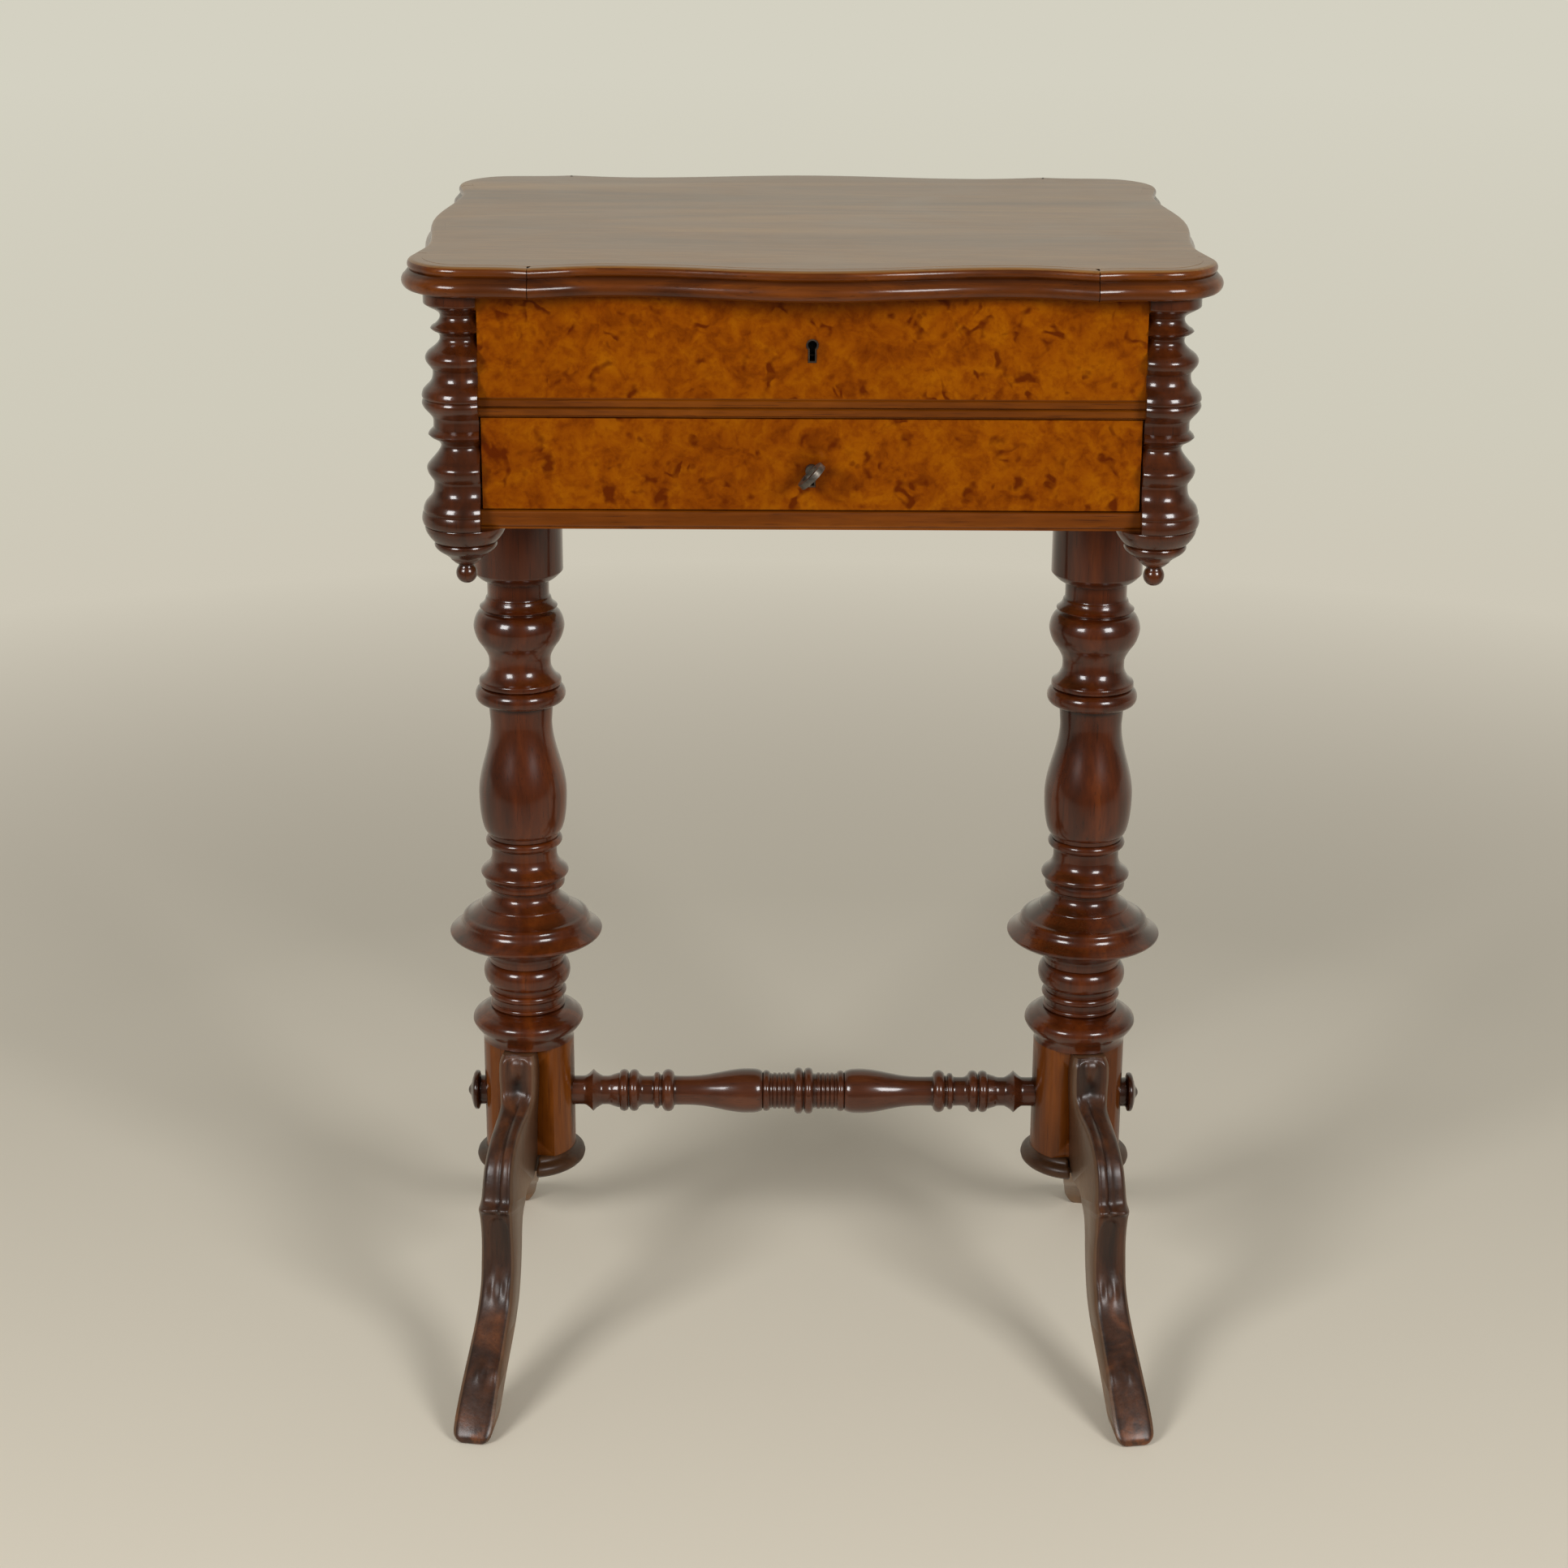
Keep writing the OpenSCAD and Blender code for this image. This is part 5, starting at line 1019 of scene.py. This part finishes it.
# draws a section out into a straight strip; back is the depth of wood behind it
def strip(bm, section, low, back, length, place):
    outline = [(-back, section[0][1])] + section + [(-back, section[-1][1])]
    verts = [bm.verts.new(place((-length / 2) * mm, out * mm, (low + up) * mm)) for out, up in outline]
    face = bm.faces.new(verts)
    grown = bmesh.ops.extrude_face_region(bm, geom=[face])
    moved = [g for g in grown["geom"] if isinstance(g, bmesh.types.BMVert)]
    bmesh.ops.translate(bm, verts=moved, vec=place(length * mm, 0, 0) - place(0, 0, 0))


def frontPlace(along, out, up):
    return Vector((along, caseFront * mm - out, up))


def leftPlace(along, out, up):
    return Vector((-caseSide * mm - out, along, up))


def rightPlace(along, out, up):
    return Vector((caseSide * mm + out, along, up))


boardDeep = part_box("front_panel")[1].y / mm - caseFront
midLow, midHigh = (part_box("mid_rail")[k].z / mm for k in (0, 1))
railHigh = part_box("bottom_rail")[1].z / mm - caseBottom
bm = bmesh.new()
strip(bm, bottomSection(rails, railHigh), caseBottom, boardDeep, 2 * notchX, frontPlace)
finishPiece("bottom_rail_moulded", bm, "railLow", "bottom_rail")

bm = bmesh.new()
for place in (leftPlace, rightPlace):
    strip(bm, bottomSection(rails, railHigh), caseBottom, 0, 2 * notchY, place)
    strip(bm, reedSection(rails, midHigh - midLow), midLow, 0, 2 * notchY, place)
finishPiece("side_mouldings_run", bm, "railY", "side_mouldings")
print("stage: rails run")

# finishes of the nodes that stay as they are
kept = {
    "lid": ["lid_panel"],
    "burr": ["front_panel", "drawer_front", "side_board_left", "side_board_right"],
    "railX": ["mid_rail"],
    "plainX": ["back_board", "well_divider_long", "drawer_back", "bottom_board", "well_floor",
               "drawer_bottom"],
    "plainY": ["well_dividers_cross", "drawer_guides", "drawer_side_left", "drawer_side_right", "bearer_left",
               "bearer_right", "leg_dowels"],
    "plainZ": ["front_posts", "back_posts"],
    "brass": ["lid_hinge_leaves", "lid_link_plate", "lid_screws", "case_hinge_leaves"],
    # the escutcheons are dark metal; the lock cases are darkened as painted shade inside the keyholes
    "darkMetalAndShade": ["lid_escutcheon", "drawer_escutcheon", "lid_lock_case", "drawer_lock_case"],
    "iron": ["drawer_key"],
    "steel": ["hinge_pins", "lid_lock_bolt", "bearer_screws", "drawer_lock_bolt"],
}
for look, names in kept.items():
    for name in names:
        data = nodes[name].data
        data.materials.clear()
        data.materials.append(materials[look])
print("stage: nodes finished")

# floor, lamps and surroundings; the floor's shades are for distances from the table, in metres, and
# polish mirrors a dimmer room on the side that the photograph was taken from
room = {
    "floor": {"Roughness": 0.6, "Base Color": paint(219, 211, 194), "Specular IOR Level": 0.2},
    "floorRadius": 14, "floorSteps": 96,
    "shades": [(1.0, paint(203, 195, 179)), (1.6, paint(205, 198, 182)), (3.0, paint(207, 203, 187)),
               (8.0, paint(212, 209, 194))],
    "fadeFrom": 0.8, "fadeTo": 2.0,
    "walls": paint(212, 209, 194), "glow": (0.28, 0.275, 0.26, 1),
    "dim": 0.2, "dimFloor": (0.2, -1.3), "dimWalls": (0.5, 0.0), "aim": (0, 0, 0.5),
    "lamps": {"lamp left": (-1.45, -1.80, 1.52), "lamp right": (1.35, -1.90, 1.52)},
    "lampSize": 0.78, "lampPower": 37,
}


# the rays that show the background itself: 1 where it is seen straight, and 1 in polish, metal or glass
def seenBy(tree):
    path = addNode(tree, "ShaderNodeLightPath").outputs
    return path["Is Camera Ray"], mathOf(tree, "MAXIMUM", path["Is Glossy Ray"], path["Is Transmission Ray"])


def makeFloor(p):
    bm = bmesh.new()
    bmesh.ops.create_circle(bm, cap_ends=True, segments=p["floorSteps"], radius=p["floorRadius"])
    mesh = bpy.data.meshes.new("floor")
    bm.to_mesh(mesh)
    bm.free()
    floor = addObject("floor", mesh)
    material, tree, shader = startMaterial("pale floor", p["floor"])
    where = coordinates(tree)
    away = vectorOf(tree, "LENGTH", {0: where}).outputs["Value"]
    far = p["shades"][-1][0]
    shade = rampOf(tree, mathOf(tree, "DIVIDE", away, far), [(d / far, colour) for d, colour in p["shades"]])
    ahead = rangeOf(tree, partsOf(tree, where)["Y"], *p["dimFloor"])
    straight, mirrored = seenBy(tree)
    light = mathOf(tree, "MAXIMUM", rangeOf(tree, ahead, 0, 1, 1, p["dim"]), straight)
    glow = addNode(tree, "ShaderNodeEmission", {"Color": shade, "Strength": light}).outputs[0]
    distant = rangeOf(tree, away, p["fadeFrom"], p["fadeTo"])
    amount = mathOf(tree, "MAXIMUM", timesOf(tree, distant, straight),
                    timesOf(tree, mathOf(tree, "MAXIMUM", distant, ahead), mirrored))
    joined = addNode(tree, "ShaderNodeMixShader", {0: amount, 1: shader.outputs[0], 2: glow})
    tree.links.new(joined.outputs[0], tree.nodes["Material Output"].inputs["Surface"])
    mesh.materials.append(material)


def makeLamps(p):
    for name, place in p["lamps"].items():
        data = bpy.data.lights.new(name, "AREA")
        data.shape = "SQUARE"
        data.size = p["lampSize"]
        data.energy = p["lampPower"]
        lamp = addObject(name, data)
        lamp.location = place
        aim = Vector(p["aim"]) - Vector(place)
        lamp.rotation_euler = aim.to_track_quat("-Z", "Y").to_euler()


def makeWorld(p):
    world = bpy.data.worlds.new("room")
    world.use_nodes = True
    bpy.context.scene.world = world
    tree = world.node_tree
    front = partsOf(tree, coordinates(tree, "Generated"))["Y"]
    straight, mirrored = seenBy(tree)
    light = mathOf(tree, "MAXIMUM", rangeOf(tree, front, *p["dimWalls"], 1, p["dim"]), straight)
    walls = vectorOf(tree, "SCALE", {0: p["walls"][:3], "Scale": light}).outputs[0]
    shown = mixOf(tree, "MIX", mathOf(tree, "MAXIMUM", straight, mirrored), p["glow"], walls)
    feed(tree, tree.nodes["Background"].inputs["Color"], shown)


makeFloor(room)
makeLamps(room)
makeWorld(room)
bpy.context.scene.view_settings.view_transform = "Standard"
print("stage: room made")
